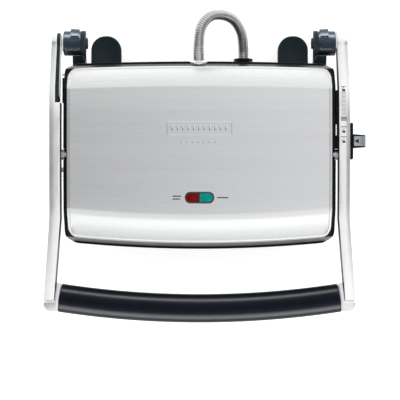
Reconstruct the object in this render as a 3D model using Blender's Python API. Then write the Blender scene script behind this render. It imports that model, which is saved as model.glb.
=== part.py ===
"""Panini press with a floating lid on a U-shaped arm frame. Metres, +Z up.

The press stands on its feet with the handle towards -Y and the hinges towards +Y.
X = 0 is the middle of the lid until the whole press is moved so that its box is centred.
"""

import math

import bmesh
import bpy
from mathutils import Matrix, Vector

# ---------------------------------------------------------------- driving dimensions

GAP = 0.0003  # between pieces that touch

# Joint axes, each along X at this (y, z).
HINGE = (0.1783, 0.085)
PIVOT = (0.0510, 0.104)

# Lid, seen from above: half widths and the middle of its rear and front edges.
FRAME_HALF = 0.1523
FRAME_REAR = 0.1597
FRAME_FRONT = -0.0562
COVER_HALF = 0.1486
COVER_REAR = 0.1516
COVER_FRONT = -0.0486
REAR_BOW = 0.0024  # how far the rear edge falls forward towards its ends
FRONT_BOW = 0.0062  # how far the front edge falls back towards its ends
BOW_HALF = 0.136
CORNER = 0.013

# Lid, seen from the side.
RIM_Z = 0.0640
RIM_FLARE_Z = 0.0680
EDGE_Z = 0.0985
REAR_CREASE = (0.1300, 0.1155)
FRONT_CREASE = (-0.0190, 0.1155)
CROWN_Z = 0.1180
DECK_DROP = 0.0030
COVER_THICK = 0.0012
WALL = 0.0030

# Base and plates.
BASE_HALF = 0.1485
BASE_REAR = 0.1515
BASE_FRONT = -0.0475
BASE_Z = (0.0060, 0.0565)
LOWER_PLATE_Z = (0.0568, 0.0600, 0.0620)  # back, root of the ribs, tip of the ribs
UPPER_PLATE_Z = (0.0690, 0.0646, 0.0626)
RIBS = 22
RIB_MARGIN = 0.0080  # from a plate's side to its first rib
BASE_WALL = 0.0028
BASE_LIP = 0.0070
BASE_LIP_THICK = 0.0035
SCREW_POST_R = 0.0050
SCREW_BORE = 0.0021
SCREW_DEPTH = 0.0180
FOOT_BORE = 0.0033
CONDUIT_HOLE = 0.0066
MAINS_HOLE = 0.0060
MAINS_AT = (-0.060, 0.024)
COVER_SHEET = 0.0025
VENTS = 5
VENT_HALF = 0.0450
VENT_START = 0.0300
VENT_PITCH = 0.0110
VENT_WIDE = 0.0040
STAND_X = 0.1105
STAND_HALF = 0.0178
STAND_TIP = 0.1940
STAND_ROUND = 0.0165
STAND_Z = (0.0140, 0.0270)
STAND_TAPER = 0.0008
ELEMENT_R = 0.0032
ELEMENT_BEND = 0.0140
LOWER_ELEMENT_Z = 0.0532
UPPER_ELEMENT_Z = 0.0728
LOWER_TRAY_Z = (0.0420, 0.0490)
UPPER_TRAY_Z = (0.0800, 0.0860)
TRAY_PLAN = (0.1360, 0.1300, -0.0350)
TRAY_SHEET = 0.0008

# Arms: faces at the hinge and at the front, where they spread.
ARM_IN = 0.1557
ARM_OUT = 0.1680
ARM_FRONT_IN = 0.1645
ARM_FRONT_OUT = 0.1763
ARM_SPREAD_Y = -0.020
ARM_FRONT_Y = -0.1136
ARM_EYE = 0.0124
ARM_TOP = ((0.1265, 0.1160), (0.0900, 0.1178), (0.0550, 0.1184), (0.0200, 0.1178), (-0.0135, 0.1160))
ARM_FRONT_TOP = 0.0990
ARM_DEEP = 0.0200
ARM_TAPER = 0.0012
ARM_SKIN_X = 0.1613  # of the left arm, where its inner side is open for the insert
INSERT_X = (0.1582, 0.1610)
INSERT_FRONT = 0.1094
INSERT_INSET = 0.0006
ROD_X = 0.1568
ROD_R = 0.0011
RAIL_X = (0.1529, 0.1554)
RAIL_Z = (0.0990, 0.1135)

# Hinges, as distances from the middle plane.
SPRING_TURNS = 5
TOWER_X = (0.1296, 0.1341)
TOWER_FOOT_X = 0.1470
TOWER_LEAN = ((0.1296, 0.0770), (0.1338, 0.0520))  # where the inner face starts and ends to lean outward
TOWER_EYE = 0.0145
TOWER_HEAD_X = 0.1272
BARREL_X = (0.1344, 0.1542)
BARREL_R = 0.0140
BARREL_BORE = 0.0106
BARREL_FLOOR = 0.0030
LUG_X = (0.1372, 0.1462)
LUG_R = 0.0170
SPRING_X = 0.1390
SPRING_R = 0.0074
SPRING_PITCH = 0.0026
SPRING_WIRE = 0.0010
WASHER_R = 0.0115
WASHER_X = (0.1545, 0.1554)
PIN_R = 0.0040
PIN_BORE = 0.0043
HINGE_PIN_END = 0.1648
HINGE_BORE_END = 0.1651
PIVOT_PIN_X = (0.1440, 0.1647)
PIVOT_BORE_END = 0.1650

# Handle: a tube bent to a wide arc, with its middle at HANDLE_Y.
HANDLE_R = 0.0162
HANDLE_CORE_R = 0.0120
HANDLE_Y = -0.1233
HANDLE_Z = 0.0850
HANDLE_ARC = 1.048
HANDLE_HALF = 0.1580
CORE_WALL = 0.0015
CORE_INTO_END = 0.0048
END_TRIM = 0.0006  # how much thinner an end casting is than the grip

# Height slider on the right arm.
SLIDER_Y = 0.0660
SLIDER_Z = 0.1060
SLIDER_TRAVEL = 0.0500
SHANK = (0.0100, 0.0042)
SLOT_PLAY = 0.0006
SLOT_HALF_Z = 0.0025
FLANGE_OUT = 0.1719
FLANGE_HALF = 0.0205
FLANGE_Z = (0.0985, 0.1135)
# The knob from above: distance from the middle plane, and half width.
KNOB_PLAN = ((0.1722, 0.0078), (0.1852, 0.0068), (0.1858, 0.0060))
KNOB_Z = (0.0995, 0.1120)
KNOB_RIBS = 3
KNOB_RIB_X = 0.1777
KNOB_RIB_PITCH = 0.0022
KNOB_RIB_GAP = 0.0010

# Lamp window in the lid's cover.
LAMP_Y = 0.0027
LAMP_HALF = (0.0162, 0.00625)
LAMP_ROOM = 0.0004
LAMP_RIM = 0.0012
LAMP_FOOT_Z = 0.1085
BEZEL_PROUD = 0.0006
LENS_PROUD = 0.0009
LAMP_PITCH = 0.0150

# Pivots and stops of the lid.
COVER_CORNER = 0.011
BUSH_R = 0.0060
BUSH_X = (0.1436, 0.1552)
BUSH_HOLE = 0.0063
BOSS_X = (0.1430, 0.1500)
BOSS_HALF = 0.0110
BOSS_Z = (0.0930, 0.1125)
NOTCH_X = 0.1490
NOTCH_HALF = 0.0064
STOP_X = (0.1470, 0.1552)

# Wiring conduit between the lid and the base.
CONDUIT_R = 0.0059
LID_EXIT = (-0.0010, 0.1556, 0.0840)
LID_EXIT_TILT = math.radians(14)
BASE_EXIT = (0.0510, 0.1515, 0.0440)

# The press is moved by this much at the end, so that its box is centred on the origin.
DATUM = (-0.00465, -0.03900, 0.0)


# ---------------------------------------------------------------- tools

def material(name, colour, roughness, metallic=0.0):
    """A Principled material for one piece."""
    made = bpy.data.materials.new(name)
    made.use_nodes = True
    shader = made.node_tree.nodes["Principled BSDF"]
    shader.inputs["Base Color"].default_value = (*colour, 1.0)
    shader.inputs["Roughness"].default_value = roughness
    shader.inputs["Metallic"].default_value = metallic
    return made


def finish(bm):
    """Merges doubles and turns every face outwards."""
    bmesh.ops.remove_doubles(bm, verts=bm.verts, dist=1e-6)
    bmesh.ops.recalc_face_normals(bm, faces=bm.faces)
    return bm


def piece(name, bm, look, axis):
    """A named object from a mesh, with its own material, held by the empty on its joint's axis."""
    mesh = bpy.data.meshes.new(name)
    finish(bm).to_mesh(mesh)
    bm.free()
    obj = bpy.data.objects.new(name, mesh)
    bpy.context.scene.collection.objects.link(obj)
    obj.data.materials.append(material(name, *look))
    hold(obj, axis)
    return obj


def hold(obj, axis):
    obj.parent = axis
    obj.matrix_parent_inverse = axis.matrix_world.inverted()


def helper(bm):
    """A hidden solid that cuts, joins or bounds another."""
    mesh = bpy.data.meshes.new("helper")
    finish(bm).to_mesh(mesh)
    bm.free()
    obj = bpy.data.objects.new("helper", mesh)
    bpy.context.scene.collection.objects.link(obj)
    obj.hide_render = True
    obj.display_type = "WIRE"
    hold(obj, AXES["base"])
    return obj


def combine(obj, operation, bm):
    tool = bm if isinstance(bm, bpy.types.Object) else helper(bm)
    step = obj.modifiers.new(operation.title(), "BOOLEAN")
    step.operation = operation
    step.object = tool
    return obj


def cut(obj, bm):
    return combine(obj, "DIFFERENCE", bm)


def join(obj, bm):
    return combine(obj, "UNION", bm)


def bound(obj, bm):
    return combine(obj, "INTERSECT", bm)


def soften(obj, width, segments=1):
    """Rounds the edges that are sharper than 40 degrees."""
    step = obj.modifiers.new("Edges", "BEVEL")
    step.width = width
    step.segments = segments
    step.limit_method = "ANGLE"
    step.angle_limit = math.radians(40)


def smooth(obj):
    obj.data.shade_smooth()
    obj.data.set_sharp_from_angle(angle=math.radians(35))


def axis_empty(name, y, z):
    empty = bpy.data.objects.new(name, None)
    empty.location = (0.0, y, z)
    bpy.context.scene.collection.objects.link(empty)
    bpy.context.view_layer.update()
    return empty


def prism(points, low, high, along="Z"):
    """A flat outline extruded from low to high: (x, y) points along Z, (y, z) along X, (x, z) along Y."""
    bm = bmesh.new()
    low, high = min(low, high), max(low, high)
    if along == "Z":
        verts = [bm.verts.new((a, b, low)) for a, b in points]
        step = Vector((0, 0, high - low))
    elif along == "Y":
        verts = [bm.verts.new((a, low, b)) for a, b in points]
        step = Vector((0, high - low, 0))
    else:
        verts = [bm.verts.new((low, a, b)) for a, b in points]
        step = Vector((high - low, 0, 0))
    face = bm.faces.new(verts)
    grown = bmesh.ops.extrude_face_region(bm, geom=[face], use_keep_orig=True)
    moved = [v for v in grown["geom"] if isinstance(v, bmesh.types.BMVert)]
    bmesh.ops.translate(bm, verts=moved, vec=step)
    return bm


def box(x, y, z):
    return prism([(x[0], y[0]), (x[1], y[0]), (x[1], y[1]), (x[0], y[1])], *z)


def loft(stations, section):
    """A closed solid whose cross section at each x is the closed (y, z) outline section(x)."""
    bm = bmesh.new()
    rings = [[bm.verts.new((x, y, z)) for y, z in section(x)] for x in stations]
    for one, other in zip(rings, rings[1:]):
        for i in range(len(one)):
            bm.faces.new((one[i - 1], one[i], other[i], other[i - 1]))
    bm.faces.new(rings[0])
    bm.faces.new(rings[-1])
    return bm


def turned(profile, origin, direction=(1, 0, 0), sides=20):
    """A closed (distance, radius) outline turned about the line from origin along direction."""
    bm = bmesh.new()
    verts = [bm.verts.new((t, r, 0)) for t, r in profile]
    edges = [bm.edges.new((verts[i - 1], verts[i])) for i in range(len(verts))]
    bmesh.ops.spin(bm, geom=verts + edges, cent=(0, 0, 0), axis=(1, 0, 0), angle=2 * math.pi, steps=sides)
    bmesh.ops.remove_doubles(bm, verts=bm.verts, dist=1e-6)
    dead = [e for e in bm.edges if not e.link_faces]
    bmesh.ops.delete(bm, geom=dead, context="EDGES")
    turn = Vector((1, 0, 0)).rotation_difference(Vector(direction)).to_matrix().to_4x4()
    bmesh.ops.transform(bm, matrix=Matrix.Translation(origin) @ turn, verts=bm.verts)
    return bm


def rod(start, end, radius, sides=20):
    """A plain cylinder between two points."""
    span = Vector(end) - Vector(start)
    profile = [(0, 0), (0, radius), (span.length, radius), (span.length, 0)]
    return turned(profile, start, span.normalized(), sides)


def side_rod(sign, x, at, radius, sides=20):
    """A cylinder along X between the two distances x from the middle, at (y, z)."""
    return rod((sign * x[0], *at), (sign * x[1], *at), radius, sides)


def side_turned(sign, profile, at, sides=20):
    """A turned piece along X whose profile counts distances from the middle plane outwards."""
    return turned(profile, (0, *at), (sign, 0, 0), sides)


def side_box(sign, x, y, z):
    return box(sorted((sign * x[0], sign * x[1])), y, z)


def arc_points(centre, radius, start, end, steps):
    """Points on a circle from one angle to another, in degrees."""
    angles = [math.radians(start + (end - start) * i / steps) for i in range(steps + 1)]
    return [(centre[0] + radius * math.cos(a), centre[1] + radius * math.sin(a)) for a in angles]


def tube(name, points, radius, look, axis, sides=2):
    """A round bar along the given points."""
    curve = bpy.data.curves.new(name, "CURVE")
    curve.dimensions = "3D"
    curve.bevel_depth = radius
    curve.bevel_resolution = sides
    curve.use_fill_caps = True
    spline = curve.splines.new("POLY")
    spline.points.add(len(points) - 1)
    for point, place in zip(spline.points, points):
        point.co = (*place, 1.0)
    obj = bpy.data.objects.new(name, curve)
    bpy.context.scene.collection.objects.link(obj)
    obj.data.materials.append(material(name, *look))
    hold(obj, axis)
    return obj


def rounded_path(corners, radius, steps=4):
    """The corners of a path replaced by short bends."""
    path = [Vector(corners[0])]
    for before, corner, after in zip(corners, corners[1:], corners[2:]):
        corner = Vector(corner)
        start = corner + (Vector(before) - corner).normalized() * radius
        end = corner + (Vector(after) - corner).normalized() * radius
        for i in range(steps + 1):
            t = i / steps
            path.append(start * (1 - t) ** 2 + corner * 2 * t * (1 - t) + end * t * t)
    path.append(Vector(corners[-1]))
    return path


def smooth_path(points, steps):
    """A Catmull-Rom curve through the points."""
    points = [Vector(p) for p in points]
    ends = [2 * points[0] - points[1], *points, 2 * points[-1] - points[-2]]
    path = []
    for a, b, c, d in zip(ends, ends[1:], ends[2:], ends[3:]):
        for i in range(steps):
            t = i / steps
            path.append(
                0.5 * (2 * b + (c - a) * t)
                + 0.5 * ((2 * a - 5 * b + 4 * c - d) * t**2 + (3 * b - a - 3 * c + d) * t**3)
            )
    path.append(points[-1])
    return path


# ---------------------------------------------------------------- shapes that pieces share

def bow(x, most):
    return most * (x / BOW_HALF) ** 2


def outline(half, rear, front, inset=0.0, corner=CORNER, steps=6):
    """The press's plan: straight sides, gently bowed front and rear edges, and rounded corners."""
    half, rear, front, corner = half - inset, rear - inset, front + inset, max(corner - inset, 0.004)
    flat = half - corner
    rear_y = rear - bow(flat, REAR_BOW)
    front_y = front + bow(flat, FRONT_BOW)
    spread = [flat * i / steps for i in range(-steps + 1, steps)]
    points = arc_points((flat, rear_y - corner), corner, 0, 90, 5)
    points += [(x, rear - bow(x, REAR_BOW)) for x in reversed(spread)]
    points += arc_points((-flat, rear_y - corner), corner, 90, 180, 5)
    points += arc_points((-flat, front_y + corner), corner, 180, 270, 5)
    points += [(x, front + bow(x, FRONT_BOW)) for x in spread]
    points += arc_points((flat, front_y + corner), corner, 270, 360, 5)
    return points


def crown(x, drop):
    """The lid's arched top from rear edge to front edge, as (y, z), lowered by drop."""
    back = bow(x, REAR_BOW)
    fore = bow(x, FRONT_BOW)
    middle = (REAR_CREASE[0] + FRONT_CREASE[0]) / 2
    span = REAR_CREASE[0] - middle
    rise = CROWN_Z - REAR_CREASE[1]
    inner = [middle + span * f for f in (0.5, 0.0, -0.5)]
    arch = [(y, CROWN_Z - rise * ((y - middle) / span) ** 2 - drop) for y in inner]
    rear = [(COVER_REAR - back, EDGE_Z - drop), (REAR_CREASE[0] - back, REAR_CREASE[1] - drop)]
    front = [(FRONT_CREASE[0] + fore, FRONT_CREASE[1] - drop), (COVER_FRONT + fore, EDGE_Z - drop)]
    return rear + arch + front


def crown_height(y):
    """The height of the cover's top face on the middle line."""
    line = crown(0.0, 0.0)
    for (y0, z0), (y1, z1) in zip(line, line[1:]):
        if y1 <= y <= y0:
            return z0 + (z1 - z0) * (y - y0) / (y1 - y0)
    return EDGE_Z


def lid_stations(half):
    return [half * i / 6 for i in range(-6, 7)]


def frame_section(x, inset, floor):
    """The lid frame's cross section: a flared skirt and an arched deck, moved in by inset."""
    back = bow(x, REAR_BOW)
    fore = bow(x, FRONT_BOW)
    rear = FRAME_REAR - back - inset
    front = FRAME_FRONT + fore + inset
    line = crown(x, DECK_DROP + inset)
    line[0] = (line[0][0] - inset, line[0][1])
    line[-1] = (line[-1][0] + inset, line[-1][1])
    return [(rear, floor), (rear, RIM_FLARE_Z), *line, (front, RIM_FLARE_Z), (front, floor)]


def arm_outline(inset=0.0):
    """An arm from the side: an eye round the hinge, an arched back and a straight run down to the handle."""
    top = [(y, z - inset) for y, z in ARM_TOP]
    top.append((ARM_FRONT_Y, ARM_FRONT_TOP - inset))
    under = [(y, z - ARM_DEEP + 2 * inset) for y, z in reversed(top)]
    eye = arc_points(HINGE, ARM_EYE - inset, -65, 110, 10)
    return eye + top + under


def ribbed_plate(name, heights, rear, front, half, axis):
    """A cast plate with ribs that run from front to back. heights are its back, rib roots and rib tips."""
    back, root, tip = heights
    pitch = 2 * (half - RIB_MARGIN) / RIBS
    section = [(-half - 0.01, back), (-half - 0.01, root)]
    for i in range(RIBS):
        left = -half + RIB_MARGIN + i * pitch
        section += [(left + 0.2 * pitch, root), (left + 0.35 * pitch, tip)]
        section += [(left + 0.65 * pitch, tip), (left + 0.8 * pitch, root)]
    section += [(half + 0.01, root), (half + 0.01, back)]
    bm = bmesh.new()
    face = bm.faces.new([bm.verts.new((x, front - 0.02, z)) for x, z in section])
    grown = bmesh.ops.extrude_face_region(bm, geom=[face], use_keep_orig=True)
    moved = [v for v in grown["geom"] if isinstance(v, bmesh.types.BMVert)]
    bmesh.ops.translate(bm, verts=moved, vec=(0, rear - front + 0.04, 0))
    plate = piece(name, bm, NON_STICK, axis)
    return bound(plate, prism(outline(half, rear, front), min(heights) - 0.01, max(heights) + 0.01))


def element(name, z, axis):
    """A tubular heating element: one loop under the plate, with both ends turned to the rear."""
    corners = [(-0.030, 0.138), (-0.030, 0.110), (-0.118, 0.110), (-0.118, -0.018)]
    corners += [(-x, y) for x, y in reversed(corners)]
    return tube(name, rounded_path([(x, y, z) for x, y in corners], ELEMENT_BEND), ELEMENT_R, NICKEL, axis)


def reflector(name, low, high, open_up, axis):
    """A pressed sheet tray that throws the element's heat back to the plate."""
    tray = piece(name, prism(outline(*TRAY_PLAN), low, high), BRIGHT_SHEET, axis)
    inside = (low + TRAY_SHEET, high + 0.01) if open_up else (low - 0.01, high - TRAY_SHEET)
    return cut(tray, prism(outline(*TRAY_PLAN, TRAY_SHEET), *inside))


def pill(half_x, half_y, low, high):
    """A slot-shaped bar standing on the lamp window's centre."""
    flat = half_x - half_y
    ends = arc_points((flat, LAMP_Y), half_y, -90, 90, 8)
    ends += arc_points((-flat, LAMP_Y), half_y, 90, 270, 8)
    return prism(ends, low, high)


# ---------------------------------------------------------------- finishes

BLACK_PLASTIC = ((0.020, 0.022, 0.026), 0.45)
SLATE_PLASTIC = ((0.045, 0.055, 0.070), 0.50)
SOFT_GRIP = ((0.022, 0.026, 0.032), 0.60)
RUBBER = ((0.030, 0.030, 0.032), 0.80)
STEEL = ((0.62, 0.63, 0.64), 0.32, 1.0)
SATIN_ALLOY = ((0.78, 0.78, 0.79), 0.38, 1.0)
NICKEL = ((0.50, 0.49, 0.47), 0.35, 1.0)
BRIGHT_SHEET = ((0.72, 0.72, 0.72), 0.25, 1.0)
NON_STICK = ((0.035, 0.035, 0.037), 0.55)
GREY_METAL = ((0.45, 0.45, 0.46), 0.40, 1.0)
CERAMIC = ((0.80, 0.78, 0.72), 0.60)
RED_LENS = ((0.45, 0.010, 0.020), 0.15)
GREEN_LENS = ((0.010, 0.38, 0.33), 0.15)
WIRE_SLEEVE = ((0.65, 0.63, 0.58), 0.70)


# ---------------------------------------------------------------- base

SCREW_AT = [(x, y) for x in (-0.139, 0.139) for y in (-0.029, 0.132)]
FOOT_AT = {
    "front_left": (-0.118, -0.018),
    "front_right": (0.118, -0.018),
    "rear_left": (-0.118, 0.124),
    "rear_right": (0.118, 0.124),
}


def base_housing():
    low, high = BASE_Z
    plan = (BASE_HALF, BASE_REAR, BASE_FRONT)
    shell = piece("base_shell", prism(outline(*plan), low, high), BLACK_PLASTIC, AXES["base"])
    cut(shell, prism(outline(*plan, BASE_WALL), low - 0.01, high - BASE_LIP_THICK))
    cut(shell, prism(outline(*plan, BASE_LIP), low, high + 0.01))
    for x, y in SCREW_AT:
        join(shell, rod((x, y, low + 0.0035), (x, y, high - 0.001), SCREW_POST_R, 12))
        cut(shell, rod((x, y, low), (x, y, low + SCREW_DEPTH), SCREW_BORE, 8))
    for (x, z), radius in (((BASE_EXIT[0], BASE_EXIT[2]), CONDUIT_HOLE), (MAINS_AT, MAINS_HOLE)):
        cut(shell, rod((x, BASE_REAR - 0.0115, z), (x, BASE_REAR + 0.0085, z), radius, 16))
    sheet = prism(outline(*plan, BASE_WALL + GAP), low, low + COVER_SHEET)
    cover = piece("base_bottom_cover", sheet, BLACK_PLASTIC, AXES["base"])
    for x, y in SCREW_AT:
        cut(cover, rod((x, y, 0), (x, y, 0.02), SCREW_BORE, 8))
    for x, y in FOOT_AT.values():
        cut(cover, rod((x, y, 0), (x, y, 0.02), FOOT_BORE, 12))
    for i in range(VENTS):
        vent_y = VENT_START + VENT_PITCH * i
        cut(cover, box((-VENT_HALF, VENT_HALF), (vent_y, vent_y + VENT_WIDE), (0.0, 0.02)))


def base_fasteners():
    for i, (x, y) in enumerate(SCREW_AT, 1):
        profile = [(0, 0), (0, 0.0032), (0.0016, 0.0036), (0.0016, 0.0016), (0.015, 0.0016), (0.0165, 0)]
        screw = turned(profile, (x, y, BASE_Z[0] - 0.0019), (0, 0, 1), 8)
        piece(f"base_screw_{i}", screw, STEEL, AXES["base"])


def feet():
    for place, (x, y) in FOOT_AT.items():
        under = BASE_Z[0] - GAP
        profile = [(0, 0), (0, 0.0085), (0.001, 0.0095), (under, 0.0105), (under, 0.0030)]
        profile += [(0.013, 0.0030), (0.0138, 0)]
        foot = piece(f"foot_{place}", turned(profile, (x, y, 0), (0, 0, 1), 16), RUBBER, AXES["base"])
        smooth(foot)


def rear_stands():
    """Two tongues behind the base: the cord is wound on them, and the press is stored standing on them."""
    for side, sign in SIDES:
        narrow = STAND_HALF - STAND_TAPER
        shoulder = STAND_TIP - STAND_ROUND
        foot_y = BASE_REAR + 0.0004
        plan = [(STAND_X + STAND_HALF, foot_y), (STAND_X + narrow, shoulder)]
        for a in [math.radians(15 * i) for i in range(1, 12)]:
            plan.append((STAND_X + narrow * math.cos(a), shoulder + STAND_ROUND * math.sin(a)))
        plan += [(STAND_X - narrow, shoulder), (STAND_X - STAND_HALF, foot_y)]
        body = prism([(sign * x, y) for x, y in plan], *STAND_Z)
        stand = piece(f"rear_stand_{side}", body, SLATE_PLASTIC, AXES["base"])
        soften(stand, 0.0015, 2)


def base_heating():
    rear, front, half = BASE_REAR - 0.001, BASE_FRONT + 0.001, BASE_HALF - 0.001
    ribbed_plate("lower_plate", LOWER_PLATE_Z, rear, front, half, AXES["base"])
    element("lower_element", LOWER_ELEMENT_Z, AXES["base"])
    reflector("lower_reflector", *LOWER_TRAY_Z, True, AXES["base"])
    body = box((-0.012, 0.036), (0.112, 0.130), (0.0088, 0.0230))
    block = piece("terminal_block", body, CERAMIC, AXES["base"])
    for i in range(4):
        x = -0.006 + 0.012 * i
        cut(block, rod((x, 0.121, 0.017), (x, 0.121, 0.026), 0.0030, 10))
    x, y, z = BASE_EXIT
    route = [(x, y - 0.0050, z), (0.050, 0.1402, 0.041), (0.045, 0.1368, 0.032), (0.035, 0.1363, 0.0225)]
    route += [(0.024, 0.1353, 0.0165), (0.016, 0.1325, 0.0160)]
    tube("base_harness", smooth_path(route, 4), 0.0022, WIRE_SLEEVE, AXES["base"])
    profile = [(-0.006, 0.0036), (-0.006, 0.0056), (GAP, 0.0056), (GAP, 0.0085), (0.0028, 0.0080)]
    profile += [(0.0045, 0.0060), (0.0045, 0.0036)]
    gland = turned(profile, (MAINS_AT[0], BASE_REAR, MAINS_AT[1]), (0, 1, 0), 16)
    piece("mains_gland", gland, RUBBER, AXES["base"])


# ---------------------------------------------------------------- hinges

def towers():
    """The fixed hinge brackets: a foot on the base's rear wall, a gusset and an eye for the hinge pin."""
    for side, sign in SIDES:
        rear = BASE_REAR + GAP
        web = [(rear, 0.022), (rear, 0.056), (0.1605, 0.0600), (0.1645, 0.0820), (0.1783, 0.0900)]
        web += [(0.1920, 0.0820), (0.1850, 0.0560), (0.1700, 0.0300), (0.1620, 0.022)]
        web = prism(web, *[sign * x for x in TOWER_X], "X")
        tower = piece(f"hinge_tower_{side}", web, SLATE_PLASTIC, AXES["base"])
        join(tower, side_rod(sign, TOWER_X, HINGE, TOWER_EYE, 24))
        gusset = [(rear, 0.0225), (rear, 0.0555), (0.1600, 0.0590), (0.1760, 0.0640), (0.1840, 0.0560)]
        gusset += [(0.1695, 0.0305), (0.1615, 0.0225)]
        join(tower, prism(gusset, sign * (TOWER_X[0] + 0.001), sign * TOWER_FOOT_X, "X"))
        (top_x, top_z), (foot_x, foot_z) = TOWER_LEAN
        lean = [(0.150, 0.110), (top_x - 0.001, 0.110), (top_x - 0.001, top_z), (top_x, top_z)]
        lean += [(foot_x, foot_z), (foot_x, 0.010), (0.150, 0.010)]
        bound(tower, prism([(sign * x, z) for x, z in lean], 0.140, 0.200, "Y"))
        cut(tower, side_rod(sign, (0.12, 0.14), HINGE, PIN_BORE, 16))
        head = [(TOWER_HEAD_X, 0.0), (TOWER_HEAD_X, 0.0062), (0.1293, 0.0066), (0.1293, PIN_R)]
        pin = [*head, (HINGE_PIN_END - 0.0008, PIN_R), (HINGE_PIN_END, 0.0)]
        smooth(piece(f"hinge_pin_{side}", side_turned(sign, pin, HINGE, 16), STEEL, AXES["base"]))


def barrels():
    """The hinge knuckles, each with its torsion spring inside and a washer outside."""
    inner, outer = BARREL_X
    chamfer = 0.0012
    wall = [(inner, PIN_BORE), (inner, BARREL_R - chamfer), (inner + chamfer, BARREL_R)]
    wall += [(outer - chamfer, BARREL_R), (outer, BARREL_R - chamfer), (outer, BARREL_BORE)]
    wall += [(inner + BARREL_FLOOR, BARREL_BORE), (inner + BARREL_FLOOR, PIN_BORE)]
    for side, sign in SIDES:
        drum = side_turned(sign, wall, HINGE, 24)
        barrel = piece(f"hinge_barrel_{side}", drum, SLATE_PLASTIC, AXES["knuckle"])
        lug = arc_points(HINGE, LUG_R, 12, 62, 5) + [(HINGE[0] + 0.0040, HINGE[1] + 0.0125)]
        lug += [(HINGE[0] + 0.0115, HINGE[1] + 0.0010)]
        join(barrel, prism(lug, *[sign * x for x in LUG_X], "X"))
        coil = []
        for i in range(SPRING_TURNS * 10 + 1):
            turn = math.radians(36 * i)
            x = sign * (SPRING_X + SPRING_PITCH * i / 10)
            coil.append((x, HINGE[0] + SPRING_R * math.cos(turn), HINGE[1] + SPRING_R * math.sin(turn)))
        tube(f"torsion_spring_{side}", coil, SPRING_WIRE, STEEL, AXES["knuckle"], 0)
        near, far = WASHER_X
        ring = [(near, PIN_BORE), (near, WASHER_R), (far, WASHER_R), (far, PIN_BORE)]
        piece(f"hinge_washer_{side}", side_turned(sign, ring, HINGE, 20), SATIN_ALLOY, AXES["knuckle"])


# ---------------------------------------------------------------- arms and handle

def arm_inner(y):
    """The distance of an arm's inner face from the middle plane, where the arm spreads."""
    return ARM_IN + (ARM_FRONT_IN - ARM_IN) * (ARM_SPREAD_Y - y) / (ARM_SPREAD_Y - ARM_FRONT_Y)


def arm(side, sign):
    """One die-cast arm: its plan, straight and then spreading to the front, bounded by its side outline."""
    plan = [(ARM_IN, 0.21), (ARM_IN, ARM_SPREAD_Y), (ARM_FRONT_IN, ARM_FRONT_Y)]
    plan += [(ARM_FRONT_OUT, ARM_FRONT_Y), (ARM_OUT, ARM_SPREAD_Y), (ARM_OUT, 0.16)]
    plan.append((ARM_OUT - ARM_TAPER, 0.21))
    bar = prism([(sign * x, y) for x, y in plan], 0.06, 0.13)
    made = piece(f"arm_{side}", bar, SATIN_ALLOY, AXES["hinge"])
    bound(made, prism(arm_outline(), sign * 0.150, sign * 0.180, "X"))
    cut(made, side_rod(sign, (0.150, HINGE_BORE_END), HINGE, PIN_BORE, 16))
    cut(made, side_rod(sign, (0.150, PIVOT_BORE_END), PIVOT, PIN_BORE, 16))
    return made


def arms():
    left = arm("left", -1)
    cut(left, box((-ARM_SKIN_X, -0.150), (INSERT_FRONT - 0.0004, 0.20), (0.06, 0.13)))
    sheet = prism(arm_outline(INSERT_INSET), *[-x for x in INSERT_X], "X")
    insert = piece("arm_insert_left", sheet, SLATE_PLASTIC, AXES["hinge"])
    bound(insert, box((-0.17, -0.15), (INSERT_FRONT, 0.20), (0.06, 0.13)))
    join(insert, side_rod(-1, (0.1562, 0.1600), (0.1125, 0.1085), 0.0026, 12))
    cut(insert, side_rod(-1, (0.150, 0.170), HINGE, PIN_BORE, 16))
    side = [(0.1855, 0.0930), (0.1700, 0.0975), (0.1450, 0.1050), (0.1230, 0.1110), (0.1170, 0.1105)]
    side.append((0.1172, 0.1065))
    route = smooth_path([(-ROD_X, y, z) for y, z in side], 3)
    tube("spring_rod_left", route, ROD_R, STEEL, AXES["hinge"], 1)
    right = arm("right", 1)
    reach = SHANK[0] / 2 + SLOT_PLAY
    ends = (SLIDER_Y - reach, SLIDER_Y + SLIDER_TRAVEL + reach)
    tall = (SLIDER_Z - SLOT_HALF_Z, SLIDER_Z + SLOT_HALF_Z)
    cut(right, box((0.150, 0.170), ends, tall))
    strip = box(RAIL_X, (ends[0] - 0.003, ends[1] + 0.0015), RAIL_Z)
    rail = piece("height_rail", strip, BLACK_PLASTIC, AXES["hinge"])
    cut(rail, box((0.150, 0.157), ends, tall))


def on_arc(radius, angle):
    """A point on a circle about the handle arc's centre, at an angle from the middle plane."""
    return (radius * math.sin(angle), HANDLE_Y + HANDLE_ARC - radius * math.cos(angle))


def bent_tube(name, outer, inner, half, look, steps, sides=20):
    """A hollow tube along the handle's arc, open at both ends."""
    reach = math.asin(half / HANDLE_ARC)
    bm = bmesh.new()
    stations = []
    for i in range(steps + 1):
        x, y = on_arc(HANDLE_ARC, reach * (2 * i / steps - 1))
        middle = Vector((x, y, HANDLE_Z))
        across = Vector((x, y - HANDLE_Y - HANDLE_ARC, 0)).normalized()
        turns = [2 * math.pi * k / sides for k in range(sides)]
        spokes = [across * math.cos(a) + Vector((0, 0, math.sin(a))) for a in turns]
        rings = [[bm.verts.new(middle + radius * way) for way in spokes] for radius in (outer, inner)]
        stations.append(rings)
    for k in range(sides):
        for one, other in zip(stations, stations[1:]):
            for wall in (0, 1):
                bm.faces.new((one[wall][k - 1], one[wall][k], other[wall][k], other[wall][k - 1]))
        for outside, inside in (stations[0], stations[-1]):
            bm.faces.new((outside[k - 1], outside[k], inside[k], inside[k - 1]))
    smooth(piece(name, bm, look, AXES["hinge"]))


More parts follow.
